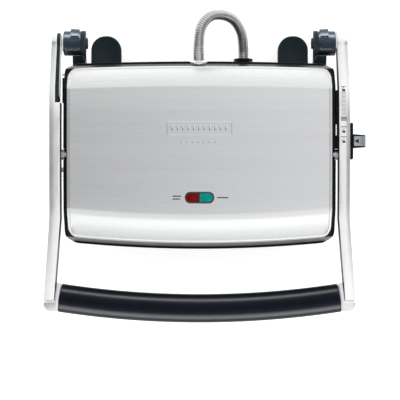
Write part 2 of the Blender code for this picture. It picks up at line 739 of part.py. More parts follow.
def handle():
    core_half = HANDLE_HALF + CORE_INTO_END
    bent_tube("handle_core", HANDLE_CORE_R, HANDLE_CORE_R - CORE_WALL, core_half, STEEL, 8, 12)
    bent_tube("handle_grip", HANDLE_R, HANDLE_CORE_R + GAP, HANDLE_HALF, SOFT_GRIP, 12)
    meet = math.asin(HANDLE_HALF / HANDLE_ARC) + GAP / HANDLE_ARC
    for side, sign in SIDES:
        back_y = on_arc(HANDLE_ARC - HANDLE_R, meet)[1] + 0.0018
        plan = [on_arc(HANDLE_ARC - HANDLE_R, meet), (arm_inner(back_y) - 0.0005, back_y)]
        plan.append((ARM_FRONT_IN - 0.0005, ARM_FRONT_Y - GAP))
        plan += [(ARM_FRONT_OUT, ARM_FRONT_Y - GAP), (ARM_FRONT_OUT + 0.0002, -0.1195)]
        plan += [(0.1738, -0.1245), (0.1695, -0.1268), on_arc(HANDLE_ARC + HANDLE_R - 0.0004, meet)]
        low, high = HANDLE_Z - HANDLE_R + END_TRIM, HANDLE_Z + HANDLE_R - END_TRIM
        casting = prism([(sign * x, y) for x, y in plan], low, high)
        end = piece(f"handle_end_{side}", casting, SATIN_ALLOY, AXES["hinge"])
        far = math.asin((HANDLE_HALF + CORE_INTO_END + 0.0005) / HANDLE_ARC)
        near = math.asin((HANDLE_HALF - 0.0050) / HANDLE_ARC)
        x0, y0 = on_arc(HANDLE_ARC, near)
        x1, y1 = on_arc(HANDLE_ARC, far)
        cut(end, rod((sign * x0, y0, HANDLE_Z), (sign * x1, y1, HANDLE_Z), HANDLE_CORE_R + 0.0004, 20))
        start, stop = PIVOT_PIN_X
        pin = [(start, 0.0), (start, PIN_R - 0.0006), (start + 0.0006, PIN_R)]
        pin += [(stop - 0.0005, PIN_R), (stop, 0.0)]
        smooth(piece(f"pivot_pin_{side}", side_turned(sign, pin, PIVOT, 16), STEEL, AXES["hinge"]))


# ---------------------------------------------------------------- lid

STOP_PINS = {"rear": ((0.1418, 0.0965), 0.0014), "front": ((0.0340, 0.1010), 0.0028)}


def lid_frame():
    frame = piece(
        "lid_frame",
        loft(lid_stations(FRAME_HALF + 0.01), lambda x: frame_section(x, 0.0, RIM_Z)),
        BLACK_PLASTIC,
        AXES["lid"],
    )
    plan = (FRAME_HALF, FRAME_REAR, FRAME_FRONT)
    bound(frame, prism(outline(*plan), 0.05, 0.13))
    hollow = helper(loft(lid_stations(FRAME_HALF + 0.01), lambda x: frame_section(x, WALL, 0.05)))
    bound(hollow, prism(outline(*plan, WALL), 0.04, 0.13))
    cut(frame, hollow)
    for side, sign in SIDES:
        join(frame, side_box(sign, BOSS_X, (PIVOT[0] - BOSS_HALF, PIVOT[0] + BOSS_HALF), BOSS_Z))
        cut(frame, side_rod(sign, (0.140, 0.156), PIVOT, BUSH_HOLE, 20))
        notch = (PIVOT[0] - NOTCH_HALF, PIVOT[0] + NOTCH_HALF)
        cut(frame, side_box(sign, (NOTCH_X, 0.156), notch, (PIVOT[1] + 0.001, 0.125)))
    for at, radius in STOP_PINS.values():
        cut(frame, side_rod(-1, (0.145, 0.157), at, radius + GAP, 12))
    cut(frame, pill(LAMP_HALF[0] + LAMP_ROOM, LAMP_HALF[1] + LAMP_ROOM, 0.10, 0.13))
    out = exit_direction()
    cut(frame, rod(Vector(LID_EXIT) - out * 0.015, Vector(LID_EXIT) + out * 0.015, CONDUIT_HOLE, 16))


def exit_direction():
    """The way the conduit leaves the lid: square to its leaning rear wall."""
    return Vector((0, math.cos(LID_EXIT_TILT), math.sin(LID_EXIT_TILT)))


def cover_section(x, drop, thick):
    top = crown(x, drop)
    top = [(top[0][0] + 0.01, top[0][1] - 0.008), *top, (top[-1][0] - 0.01, top[-1][1] - 0.0058)]
    return top + [(y, z - thick) for y, z in reversed(top)]


def lid_cover():
    """The pressed stainless cover: a thin arched skin with a shallow lip all round."""
    plan = (COVER_HALF, COVER_REAR, COVER_FRONT)
    depth = DECK_DROP - GAP
    cover = piece(
        "lid_cover",
        loft(lid_stations(COVER_HALF + 0.01), lambda x: cover_section(x, 0.0, depth)),
        STEEL,
        AXES["lid"],
    )
    bound(cover, prism(outline(*plan, corner=COVER_CORNER), 0.05, 0.13))
    hollow = helper(loft(lid_stations(COVER_HALF + 0.01), lambda x: cover_section(x, COVER_THICK, 0.010)))
    bound(hollow, prism(outline(*plan, COVER_THICK, corner=COVER_CORNER), 0.04, 0.13))
    cut(cover, hollow)
    cut(cover, pill(LAMP_HALF[0] + LAMP_ROOM, LAMP_HALF[1] + LAMP_ROOM, 0.10, 0.13))


def lamps():
    """The lamp window: a rimmed bezel, a red and a green lens, and the holder with its two lamp wells."""
    top = crown_height(LAMP_Y)
    bezel = piece("lamp_bezel", pill(*LAMP_HALF, LAMP_FOOT_Z, top + BEZEL_PROUD), GREY_METAL, AXES["lid"])
    cut(bezel, pill(LAMP_HALF[0] - LAMP_RIM, LAMP_HALF[1] - LAMP_RIM, 0.10, 0.13))
    room = LAMP_RIM + GAP
    lenses = {"lens_red": (RED_LENS, (-0.02, -0.0002)), "lens_green": (GREEN_LENS, (0.0002, 0.02))}
    for name, (look, span) in lenses.items():
        window = pill(LAMP_HALF[0] - room, LAMP_HALF[1] - room, LAMP_FOOT_Z + 0.0007, top + LENS_PROUD)
        lens = piece(name, window, look, AXES["lid"])
        bound(lens, box(span, (-0.02, 0.02), (0.10, 0.13)))
    body = box((-0.021, 0.021), (-0.0075, 0.0129), (0.0985, LAMP_FOOT_Z - 0.0004))
    holder = piece("lamp_holder", body, BLACK_PLASTIC, AXES["lid"])
    for x in (-LAMP_PITCH / 2, LAMP_PITCH / 2):
        cut(holder, rod((x, LAMP_Y, 0.1015), (x, LAMP_Y, 0.110), 0.0034, 12))


def lid_heating():
    ribbed_plate("upper_plate", UPPER_PLATE_Z, 0.1535, -0.0500, 0.1470, AXES["lid"])
    element("upper_element", UPPER_ELEMENT_Z, AXES["lid"])
    reflector("upper_reflector", *UPPER_TRAY_Z, False, AXES["lid"])
    disc = [(0, 0), (0, 0.0085), (0.005, 0.0085), (0.005, 0.0060), (0.009, 0.0060), (0.009, 0)]
    piece("thermostat", turned(disc, (0.060, 0.045, 0.0693), (0, 0, 1), 16), CERAMIC, AXES["lid"])
    fuse = [(0, 0), (0, 0.0008), (0.007, 0.0008), (0.007, 0.0019), (0.017, 0.0019), (0.017, 0.0008)]
    fuse += [(0.024, 0.0008), (0.024, 0)]
    piece("thermal_fuse", turned(fuse, (-0.072, 0.045, 0.0715), (1, 0, 0), 10), GREY_METAL, AXES["lid"])
    route = [Vector(LID_EXIT) - exit_direction() * back for back in (0.0068, 0.0100)]
    route += [(0.000, 0.1375, 0.0860), (0.000, 0.1200, 0.0925), (0.001, 0.0700, 0.0950)]
    route += [(0.001, 0.0300, 0.0980), (0.000, 0.0145, 0.1020)]
    tube("lid_harness", smooth_path(route, 5), 0.0020, WIRE_SLEEVE, AXES["lid"])


def lid_pivots():
    bush = [(BUSH_X[0], PIN_BORE), (BUSH_X[0], BUSH_R), (BUSH_X[1], BUSH_R), (BUSH_X[1], PIN_BORE)]
    for side, sign in SIDES:
        smooth(piece(f"pivot_bush_{side}", side_turned(sign, bush, PIVOT, 20), GREY_METAL, AXES["lid"]))
    for place, (at, radius) in STOP_PINS.items():
        start, stop = STOP_X
        pin = [(start, 0), (start, radius), (stop - 0.0004, radius), (stop, radius - 0.0004), (stop, 0)]
        smooth(piece(f"stop_pin_{place}", side_turned(-1, pin, at, 12), STEEL, AXES["lid"]))


# ---------------------------------------------------------------- height slider

def height_slider():
    """The slide that sets the lid's height and locks it shut: flange and shank in one, with a ribbed knob."""
    y = (SLIDER_Y - FLANGE_HALF, SLIDER_Y + FLANGE_HALF)
    plate = box((ARM_OUT + GAP, FLANGE_OUT), y, FLANGE_Z)
    flange = piece("slider_flange", plate, BLACK_PLASTIC, AXES["slider"])
    soften(flange, 0.0012, 2)
    half_y, half_z = SHANK[0] / 2, SHANK[1] / 2
    along = (SLIDER_Y - half_y, SLIDER_Y + half_y)
    shank = box((0.1545, ARM_OUT + 0.0020), along, (SLIDER_Z - half_z, SLIDER_Z + half_z))
    join(flange, shank)
    plan = [(x, SLIDER_Y + w) for x, w in KNOB_PLAN] + [(x, SLIDER_Y - w) for x, w in reversed(KNOB_PLAN)]
    knob = piece("slider_knob", prism(plan, *KNOB_Z), SLATE_PLASTIC, AXES["slider"])
    for i in range(KNOB_RIBS):
        x = KNOB_RIB_X + KNOB_RIB_PITCH * i
        cut(knob, box((x, x + KNOB_RIB_GAP), (0.050, 0.085), (KNOB_Z[1] - 0.0006, KNOB_Z[1] + 0.001)))


# ---------------------------------------------------------------- conduit

def conduit():
    """The ribbed conduit with the lid's wires: out of the lid's rear wall, round behind and into the base."""
    out = exit_direction()
    lid_end = Vector(LID_EXIT)
    base_end = Vector(BASE_EXIT)
    route = [lid_end - out * 0.006, lid_end + out * 0.006, lid_end + out * 0.022]
    route += [(0.0015, 0.1955, 0.0905), (0.0110, 0.2083, 0.0860), (0.0245, 0.2120, 0.0770)]
    route += [(0.0388, 0.2078, 0.0660), (0.0484, 0.1945, 0.0545), base_end + Vector((0, 0.0250, 0.002))]
    route += [base_end + Vector((0, 0.0140, 0)), base_end + Vector((0, -0.0030, 0))]
    tube("conduit", smooth_path(route, 4), CONDUIT_R, GREY_METAL, AXES["base"], 3)
    bore = CONDUIT_R + 0.0004
    collar = [(GAP, bore), (GAP, 0.0092), (0.0022, 0.0092), (0.0030, 0.0078)]
    collar += [(0.0100, 0.0076), (0.0106, 0.0112), (0.0130, 0.0112), (0.0136, 0.0100), (0.0136, bore)]
    base_collar = turned(collar, BASE_EXIT, (0, 1, 0), 20)
    smooth(piece("conduit_base_collar", base_collar, BLACK_PLASTIC, AXES["base"]))
    collar = [(0.0008, bore), (0.0008, 0.0100), (0.0024, 0.0100), (0.0034, 0.0080)]
    collar += [(0.0042, 0.0076), (0.0042, bore)]
    lid_collar = turned(collar, LID_EXIT, out, 20)
    smooth(piece("conduit_lid_collar", lid_collar, SATIN_ALLOY, AXES["lid"]))


# ---------------------------------------------------------------- the press

SIDES = (("left", -1), ("right", 1))

for old in list(bpy.data.objects):
    bpy.data.objects.remove(old, do_unlink=True)

AXES = {
    "base": axis_empty("press_datum", 0.0, 0.0),
    "knuckle": axis_empty("knuckle_axis", *HINGE),
    "hinge": axis_empty("hinge_axis", *HINGE),
    "lid": axis_empty("lid_pivot_axis", *PIVOT),
    "slider": axis_empty("slider_axis", SLIDER_Y, SLIDER_Z),
}
for joint_axis in list(AXES.values())[1:]:
    hold(joint_axis, AXES["base"])

base_housing()
base_fasteners()
feet()
rear_stands()
base_heating()
towers()
barrels()
arms()
handle()
lid_frame()
lid_cover()
lamps()
lid_heating()
lid_pivots()
height_slider()
conduit()

AXES["base"].location = DATUM
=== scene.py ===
import math

import bmesh
import bpy
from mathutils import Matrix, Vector


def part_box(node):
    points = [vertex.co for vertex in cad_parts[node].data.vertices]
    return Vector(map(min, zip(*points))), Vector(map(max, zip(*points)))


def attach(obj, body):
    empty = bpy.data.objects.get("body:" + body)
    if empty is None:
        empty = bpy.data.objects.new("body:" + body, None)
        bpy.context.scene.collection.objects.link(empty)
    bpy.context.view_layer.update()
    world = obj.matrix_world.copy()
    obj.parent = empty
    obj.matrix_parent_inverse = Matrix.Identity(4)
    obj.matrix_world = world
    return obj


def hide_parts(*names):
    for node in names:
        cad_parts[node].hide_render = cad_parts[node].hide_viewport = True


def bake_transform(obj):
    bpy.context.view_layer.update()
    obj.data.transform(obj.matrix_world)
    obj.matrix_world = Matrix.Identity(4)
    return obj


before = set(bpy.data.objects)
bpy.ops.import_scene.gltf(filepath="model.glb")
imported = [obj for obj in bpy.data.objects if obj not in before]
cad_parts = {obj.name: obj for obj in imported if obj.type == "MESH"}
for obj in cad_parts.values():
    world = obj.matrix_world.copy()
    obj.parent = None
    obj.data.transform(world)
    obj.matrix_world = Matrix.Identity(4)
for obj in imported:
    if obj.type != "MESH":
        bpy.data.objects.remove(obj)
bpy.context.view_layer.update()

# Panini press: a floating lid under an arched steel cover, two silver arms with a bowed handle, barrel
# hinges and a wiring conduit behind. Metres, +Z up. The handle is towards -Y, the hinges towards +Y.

# ------------------------------------------------------------------------------ camera
# The press is looked at from straight above, from a little over its middle, with a long lens, so that the
# arms' inner walls show only as thin lines.
lid_low, lid_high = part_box("lid_frame")
press_x = (lid_low.x + lid_high.x) / 2
CAMERA_HEIGHT = 1.6
CAMERA_AHEAD = 0.0517  # of the middle of the lid
CAMERA_ASIDE = 0.0005
camera = bpy.data.objects.new("camera", bpy.data.cameras.new("camera"))
camera.data.lens = 119.7
camera.location = (press_x + CAMERA_ASIDE, (lid_low.y + lid_high.y) / 2 - CAMERA_AHEAD, CAMERA_HEIGHT)
bpy.context.scene.collection.objects.link(camera)
bpy.context.scene.camera = camera
bpy.context.scene.view_settings.view_transform = "Standard"

# ------------------------------------------------------------------------------ studio
# A white sweep to stand on, and soft light from all round: bright at the front and the back, weaker
# overhead and weakest at the sides. One panel in front adds to it, and two light only the black parts.
FLOOR_HALF = 12.0
bpy.ops.object.select_all(action="DESELECT")
bpy.ops.mesh.primitive_plane_add(size=2 * FLOOR_HALF, location=(0, 0, 0))
floor = bpy.context.object
floor.name = "floor"
white = bpy.data.materials.new("floor_white")
white.use_nodes = True
sweep = white.node_tree.nodes["Principled BSDF"]
sweep.inputs["Base Color"].default_value = (0.93, 0.93, 0.93, 1)
sweep.inputs["Roughness"].default_value = 0.9
sweep.inputs["Emission Color"].default_value = (1, 1, 1, 1)
sweep.inputs["Emission Strength"].default_value = 0.62
floor.data.materials.append(white)


def soft_panel(name, place, size, watts, lit_only=None):
    """A rectangular diffuser that faces the press. It lights all pieces, or only one group of them."""
    light = bpy.data.lights.new(name, "AREA")
    light.shape = "RECTANGLE"
    light.size, light.size_y = size
    light.energy = watts
    lamp = bpy.data.objects.new(name, light)
    lamp.location = place
    lamp.rotation_euler = (Vector((0, 0, 0.1)) - Vector(place)).to_track_quat("-Z", "Y").to_euler()
    lamp.visible_camera = False
    lamp.light_linking.receiver_collection = lit_only
    bpy.context.scene.collection.objects.link(lamp)


soft_panel("strip_front", (0.0, -1.4, 0.80), (2.6, 0.40), 1.6)
dark_parts = bpy.data.collections.new("dark_parts")
soft_panel("dark_back", (0.0, 1.3, 0.55), (2.6, 0.42), 190.0, dark_parts)
soft_panel("dark_front", (0.0, -1.6, 0.40), (2.6, 1.10), 300.0, dark_parts)

sky = bpy.data.worlds.new("studio")
bpy.context.scene.world = sky
sky.use_nodes = True
sky_nodes = sky.node_tree.nodes
sky_links = sky.node_tree.links
sky_way = sky_nodes.new("ShaderNodeTexCoord")
sky_split = sky_nodes.new("ShaderNodeSeparateXYZ")
sky_links.new(sky_way.outputs["Generated"], sky_split.inputs["Vector"])
across = sky_nodes.new("ShaderNodeMath")
across.operation = "MULTIPLY_ADD"
across.inputs[1].default_value = 0.5
across.inputs[2].default_value = 0.5
sky_links.new(sky_split.outputs["X"], across.inputs[0])
along = sky_nodes.new("ShaderNodeMath")
along.operation = "ABSOLUTE"
sky_links.new(sky_split.outputs["Y"], along.inputs[0])
overhead = sky_nodes.new("ShaderNodeValToRGB")
overhead.color_ramp.elements[1].position = 0.0
levels = {0.28: 0.24, 0.43: 0.47, 0.50: 0.77, 0.56: 1.02, 0.64: 1.04, 0.75: 0.40, 1.0: 0.22}
for place, level in levels.items():
    overhead.color_ramp.elements.new(place).color = (level, level, level * 1.01, 1)
for stop in list(overhead.color_ramp.elements)[:2]:
    stop.color = (0.20, 0.20, 0.21, 1)
sky_links.new(across.outputs["Value"], overhead.inputs["Fac"])
ends = sky_nodes.new("ShaderNodeMapRange")
ends.interpolation_type = "SMOOTHSTEP"
ends.inputs["From Min"].default_value = 0.10
ends.inputs["From Max"].default_value = 0.45
sky_links.new(along.outputs["Value"], ends.inputs["Value"])
horizon = sky_nodes.new("ShaderNodeMapRange")
horizon.inputs["From Min"].default_value = 0.40
horizon.inputs["From Max"].default_value = 0.56
horizon.inputs["To Min"].default_value = 1.02
horizon.inputs["To Max"].default_value = 1.17
sky_links.new(across.outputs["Value"], horizon.inputs["Value"])
blend = sky_nodes.new("ShaderNodeMixRGB")
sky_links.new(horizon.outputs["Result"], blend.inputs["Color2"])
sky_links.new(ends.outputs["Result"], blend.inputs["Fac"])
sky_links.new(overhead.outputs["Color"], blend.inputs["Color1"])
sky_links.new(blend.outputs["Color"], sky_nodes["Background"].inputs["Color"])

# ------------------------------------------------------------------------------ base housing
# The base is a deep tub of black glass-filled plastic, moulded in one piece with a rounded foot line and a
# parting groove. The lower plate closes it above, and a screwed cover with vents closes it below.


def bench(piece=None, mode="OBJECT"):
    """Puts one piece, or nothing, on the bench: selected, active and in the wanted mode."""
    if bpy.context.object and bpy.context.object.mode != "OBJECT":
        bpy.ops.object.mode_set(mode="OBJECT")
    bpy.ops.object.select_all(action="DESELECT")
    if piece:
        piece.select_set(True)
        bpy.context.view_layer.objects.active = piece
        bpy.ops.object.mode_set(mode=mode)


def select(piece, kind, wanted):
    """Selects the points, edges or faces of a piece in edit mode that pass a test."""
    bpy.ops.mesh.select_mode(type=kind)
    bpy.ops.mesh.select_all(action="DESELECT")
    mesh = bmesh.from_edit_mesh(piece.data)
    mesh.normal_update()
    items = {"VERT": mesh.verts, "EDGE": mesh.edges, "FACE": mesh.faces}[kind]
    for item in items:
        if wanted(item):
            item.select_set(True)
    mesh.select_flush_mode()
    bmesh.update_edit_mesh(piece.data)


def is_upright(edge):
    """Whether an edge stands straight up."""
    return (edge.verts[0].co - edge.verts[1].co).xy.length < 1e-6


def rounded_block(name, low, high, corner=0.0, segments=8):
    """A block, left in edit mode, whose four upright corners are rounded."""
    bench()
    low, high = Vector(low), Vector(high)
    bpy.ops.mesh.primitive_cube_add(size=1, location=(low + high) / 2, scale=high - low)
    piece = bpy.context.object
    piece.name = name
    bpy.ops.object.transform_apply(location=True, rotation=True, scale=True)
    bpy.ops.object.mode_set(mode="EDIT")
    if corner:
        select(piece, "EDGE", is_upright)
        bpy.ops.mesh.bevel(offset=corner, segments=segments)
    return piece


def rim_edges(z):
    """A test for the edges that lie at one height and bound a level face there."""

    def on_rim(edge):
        level = all(abs(v.co.z - z) < 1e-6 for v in edge.verts)
        return level and any(abs(f.normal.z) < 0.5 for f in edge.link_faces)

    return on_rim


def cut_across(piece, axis, places):
    """Cuts new rows of points at places along an axis, so that the piece can follow a curve."""
    for place in places:
        point = [place if i == axis else 0.0 for i in range(3)]
        way = [float(i == axis) for i in range(3)]
        bpy.ops.mesh.select_all(action="SELECT")
        bpy.ops.mesh.bisect(plane_co=point, plane_no=way)


def move_rows(piece, axis, way, amount, zone):
    """Moves each row of points in a zone, along way, by the amount for its place on an axis."""
    mesh = bmesh.from_edit_mesh(piece.data)
    places = sorted({round(v.co[axis], 5) for v in mesh.verts if zone(v.co)})
    for place in places:
        step = amount(place)
        if abs(step) > 1e-7:
            select(piece, "VERT", lambda v: round(v.co[axis], 5) == place and zone(v.co))
            bpy.ops.transform.translate(value=Vector(way) * step)


def spaced(start, end, count):
    """Evenly spaced places, both ends left out."""
    return [start + (end - start) * i / count for i in range(1, count)]


def bow_plan(piece):
    """Bows the piece's front and rear edges, as all pieces of the lid and base are bowed in plan."""
    middle = (lid_low.y + lid_high.y) / 2

    def bow(depth):
        return lambda x: depth * ((x - press_x) / BOW_HALF) ** 2

    move_rows(piece, 0, (0, -1, 0), bow(REAR_BOW), lambda co: co.y > middle)
    move_rows(piece, 0, (0, 1, 0), bow(FRONT_BOW), lambda co: co.y < middle)


def close_up(piece, smooth_angle=35):
    """Leaves edit mode with the doubles merged and the round parts shaded smooth."""
    bench(piece, "EDIT")
    bpy.ops.mesh.select_all(action="SELECT")
    bpy.ops.mesh.remove_doubles(threshold=1e-6)
    bpy.ops.mesh.normals_make_consistent(inside=False)
    bench(piece)
    bpy.ops.object.shade_smooth_by_angle(angle=math.radians(smooth_angle))
    return piece


def modify(piece, kind, **settings):
    """Adds a modifier with these settings and applies it."""
    bench(piece)
    step = piece.modifiers.new(kind.title(), kind)
    for key, value in settings.items():
        setattr(step, key, value)
    bpy.ops.object.modifier_apply(modifier=step.name)


def cut_away(piece, cutter):
    """Cuts a helper block out of a piece and throws the helper away."""
    bench()
    modify(piece, "BOOLEAN", operation="DIFFERENCE", object=cutter)
    bpy.data.objects.remove(cutter)


def surface(
    name,
    colour,
    roughness,
    metallic=0.0,
    grain=1500.0,
    stretch=(1, 1, 1),
    relief=0.00002,
    tone=0.12,
    spread=0.05,
    shine=0.5,
):
    """A finish with grain: fine noise gives relief, and with broad noise it shades colour and gloss."""
    made = bpy.data.materials.new(name)
    made.use_nodes = True
    nodes, links = made.node_tree.nodes, made.node_tree.links
    shader = nodes["Principled BSDF"]
    shader.inputs["Metallic"].default_value = metallic
    shader.inputs["Specular IOR Level"].default_value = shine
    place = nodes.new("ShaderNodeTexCoord")
    scale = nodes.new("ShaderNodeMapping")
    scale.inputs["Scale"].default_value = stretch
    links.new(place.outputs["Object"], scale.inputs["Vector"])
    fine = nodes.new("ShaderNodeTexNoise")
    fine.inputs["Scale"].default_value = grain
    fine.inputs["Detail"].default_value = 3.0
    broad = nodes.new("ShaderNodeTexNoise")
    broad.inputs["Scale"].default_value = grain / 40
    broad.inputs["Detail"].default_value = 4.0
    for noise in (fine, broad):
        links.new(scale.outputs["Vector"], noise.inputs["Vector"])
    both = nodes.new("ShaderNodeMath")
    both.operation = "ADD"
    links.new(fine.outputs["Fac"], both.inputs[0])
    links.new(broad.outputs["Fac"], both.inputs[1])
    shade = nodes.new("ShaderNodeValToRGB")
    for stop, place_on, share in zip(shade.color_ramp.elements, (0.3, 0.7), (1 - tone, 1 + tone)):
        stop.position = place_on
        stop.color = (*(min(1.0, c * share) for c in colour), 1)
    half = nodes.new("ShaderNodeMath")
    half.operation = "MULTIPLY"
    half.inputs[1].default_value = 0.5
    links.new(both.outputs["Value"], half.inputs[0])
    links.new(half.outputs["Value"], shade.inputs["Fac"])
    links.new(shade.outputs["Color"], shader.inputs["Base Color"])
    gloss = nodes.new("ShaderNodeMapRange")
    gloss.inputs["From Min"].default_value = 0.35
    gloss.inputs["From Max"].default_value = 0.65
    gloss.inputs["To Min"].default_value = roughness - spread
    gloss.inputs["To Max"].default_value = roughness + spread
    links.new(half.outputs["Value"], gloss.inputs["Value"])
    links.new(gloss.outputs["Result"], shader.inputs["Roughness"])
    bump = nodes.new("ShaderNodeBump")
    bump.inputs["Strength"].default_value = 0.6
    bump.inputs["Distance"].default_value = relief
    links.new(fine.outputs["Fac"], bump.inputs["Height"])
    links.new(bump.outputs["Normal"], shader.inputs["Normal"])
    return made


def wear(piece, look):
    """Gives a new piece its only finish."""
    piece.data.materials.clear()
    piece.data.materials.append(look)


def coat(look, *names):
    """Gives CAD nodes that are shown as they are a finish."""
    for name in names:
        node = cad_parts[name]
        node.data.materials.clear()
        node.data.materials.append(look)


BOW_HALF = 0.136
FRONT_BOW = 0.0062  # how far the front edges fall back at BOW_HALF from the middle
REAR_BOW = 0.0024
BASE_CORNER = 0.013
BASE_FOOT_ROUND = 0.0024
BASE_TOP_ROUND = 0.0010
BASE_LIP = 0.0070
BASE_LIP_DEEP = 0.0035
BASE_WALL = 0.0028
base_low, base_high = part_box("base_shell")
GROOVE_Z = base_high.z - 0.0085
GROOVE_HALF = 0.0004
GROOVE_DEEP = 0.0005
black_plastic = surface("black_plastic", (0.002, 0.0024, 0.003), 0.34, grain=2600, shine=0.14)
housing = rounded_block("base_housing", base_low, base_high, BASE_CORNER)
select(housing, "EDGE", rim_edges(base_low.z))
bpy.ops.mesh.bevel(offset=BASE_FOOT_ROUND, segments=4)
select(housing, "EDGE", rim_edges(base_high.z))
bpy.ops.mesh.bevel(offset=BASE_TOP_ROUND, segments=2)
select(housing, "FACE", lambda f: f.normal.z > 0.9 and f.calc_center_median().z > base_high.z - 1e-5)
bpy.ops.mesh.inset(thickness=BASE_LIP - BASE_TOP_ROUND)
bpy.ops.mesh.extrude_region_move(TRANSFORM_OT_translate={"value": (0, 0, -BASE_LIP_DEEP)})
select(housing, "FACE", lambda f: f.normal.z < -0.9 and f.calc_center_median().z < base_low.z + 1e-5)
bpy.ops.mesh.inset(thickness=BASE_WALL - BASE_FOOT_ROUND)
select(housing, "FACE", lambda f: abs(f.normal.z) > 0.9 and f.calc_area() > 0.02)
bpy.ops.mesh.bridge_edge_loops()
cut_across(housing, 2, [GROOVE_Z - GROOVE_HALF, GROOVE_Z + GROOVE_HALF])
base_middle = (base_low + base_high) / 2
select(
    housing,
    "FACE",
    lambda f: abs(f.calc_center_median().z - GROOVE_Z) < 1e-4
    and f.normal.dot(f.calc_center_median() - base_middle) > 0,
)
bpy.ops.mesh.extrude_region_shrink_fatten(TRANSFORM_OT_shrink_fatten={"value": -GROOVE_DEEP})
cut_across(housing, 0, spaced(base_low.x + BASE_CORNER, base_high.x - BASE_CORNER, 18))
bow_plan(housing)
close_up(housing)
wear(housing, black_plastic)
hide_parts("base_shell")
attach(housing, "base")
coat(black_plastic, "base_bottom_cover", "conduit_base_collar")

# ------------------------------------------------------------------------------ feet, screws and inner base
# Four rubber feet and four zinc-plated screws hold the bottom cover. Inside are the tubular element over its
# bright reflector, a ceramic terminal block and the sleeved wires. They keep the frame's shapes.
rubber = surface("foot_rubber", (0.030, 0.030, 0.032), 0.80, grain=3200, relief=0.00004)
coat(rubber, "foot_front_left", "foot_front_right", "foot_rear_left", "foot_rear_right", "mains_gland")
bright_steel = surface("steel", (0.60, 0.61, 0.62), 0.28, 1.0, grain=900, relief=0.000004, tone=0.06)
coat(bright_steel, *(f"base_screw_{i}" for i in range(1, 5)), "torsion_spring_left", "torsion_spring_right")
nickel = surface("element_nickel", (0.42, 0.41, 0.38), 0.40, 1.0, grain=700, relief=0.00001, tone=0.2)
coat(nickel, "lower_element", "upper_element")
bright_sheet = surface(
    "bright_sheet", (0.72, 0.72, 0.72), 0.25, 1.0, grain=300, stretch=(1, 20, 1), tone=0.06
)
coat(bright_sheet, "lower_reflector", "upper_reflector")
glazed = surface("ceramic", (0.78, 0.76, 0.70), 0.55, grain=1800, tone=0.05)
coat(glazed, "terminal_block", "thermostat")
glass_sleeve = surface("wire_sleeve", (0.62, 0.60, 0.55), 0.75, grain=3500, relief=0.00008, tone=0.18)
coat(glass_sleeve, "base_harness", "lid_harness")

# ------------------------------------------------------------------------------ cooking plates
# Two cast aluminium plates with rounded ribs from front to back and a sunken edge that leads the fat away.
# They are sprayed with a dark non-stick coat, so they are finely speckled and not quite matt.
PLATE_CORNER = 0.012
RIB_COUNT = 22
RIB_HEIGHT = 0.0020
RIB_EDGE = 0.0080  # from the plate's side to the first rib
RIB_END = 0.0140  # from the plate's front and rear edges to the ribs' ends
RIB_SHARES = (0.22, 0.78)  # where a rib starts and ends within its pitch
RIB_ROUND = 0.0012
non_stick = surface(
    "non_stick", (0.030, 0.030, 0.032), 0.50, grain=2200, relief=0.00006, tone=0.45, spread=0.08
)


def ribbed_plate(name, node, body, way):
    """A plate for a CAD plate. Its ribs stand up where way is 1 and hang down where it is -1."""
    low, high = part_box(node)
    back_z = low.z if way > 0 else high.z
    root_z = (high.z if way > 0 else low.z) - way * RIB_HEIGHT
    bottom, top = min(back_z, root_z), max(back_z, root_z)
    plate = rounded_block(name, (low.x, low.y, bottom), (high.x, high.y, top), PLATE_CORNER)
    select(plate, "FACE", lambda f: f.normal.z * way > 0.9)
    bpy.ops.mesh.inset(thickness=0.0020)
    bpy.ops.mesh.inset(thickness=0.0012, depth=-0.0010)
    bpy.ops.mesh.inset(thickness=0.0030)
    bpy.ops.mesh.inset(thickness=0.0012, depth=0.0010)
    pitch = (high.x - low.x - 2 * RIB_EDGE) / RIB_COUNT
    first = low.x + RIB_EDGE
    cut_across(plate, 0, [first + pitch * (i + share) for i in range(RIB_COUNT) for share in RIB_SHARES])
    cut_across(plate, 1, [low.y + RIB_END, high.y - RIB_END])

    def on_rib(face):
        middle = face.calc_center_median()
        share = (middle.x - first) / pitch
        across = 0.25 < share % 1.0 < 0.75 and 0 < share < RIB_COUNT
        return face.normal.z * way > 0.9 and across and low.y + RIB_END < middle.y < high.y - RIB_END

    select(plate, "FACE", on_rib)
    bpy.ops.mesh.extrude_region_move(TRANSFORM_OT_translate={"value": (0, 0, way * RIB_HEIGHT)})
    tip_z = root_z + way * RIB_HEIGHT
    select(plate, "EDGE", lambda e: all(abs(v.co.z - tip_z) < 1e-6 for v in e.verts))
    bpy.ops.mesh.bevel(offset=RIB_ROUND, segments=3)
    bow_plan(plate)
    close_up(plate)
    wear(plate, non_stick)
    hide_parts(node)
    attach(plate, body)


ribbed_plate("base_plate", "lower_plate", "base", 1)
ribbed_plate("lid_plate", "upper_plate", "lid", -1)

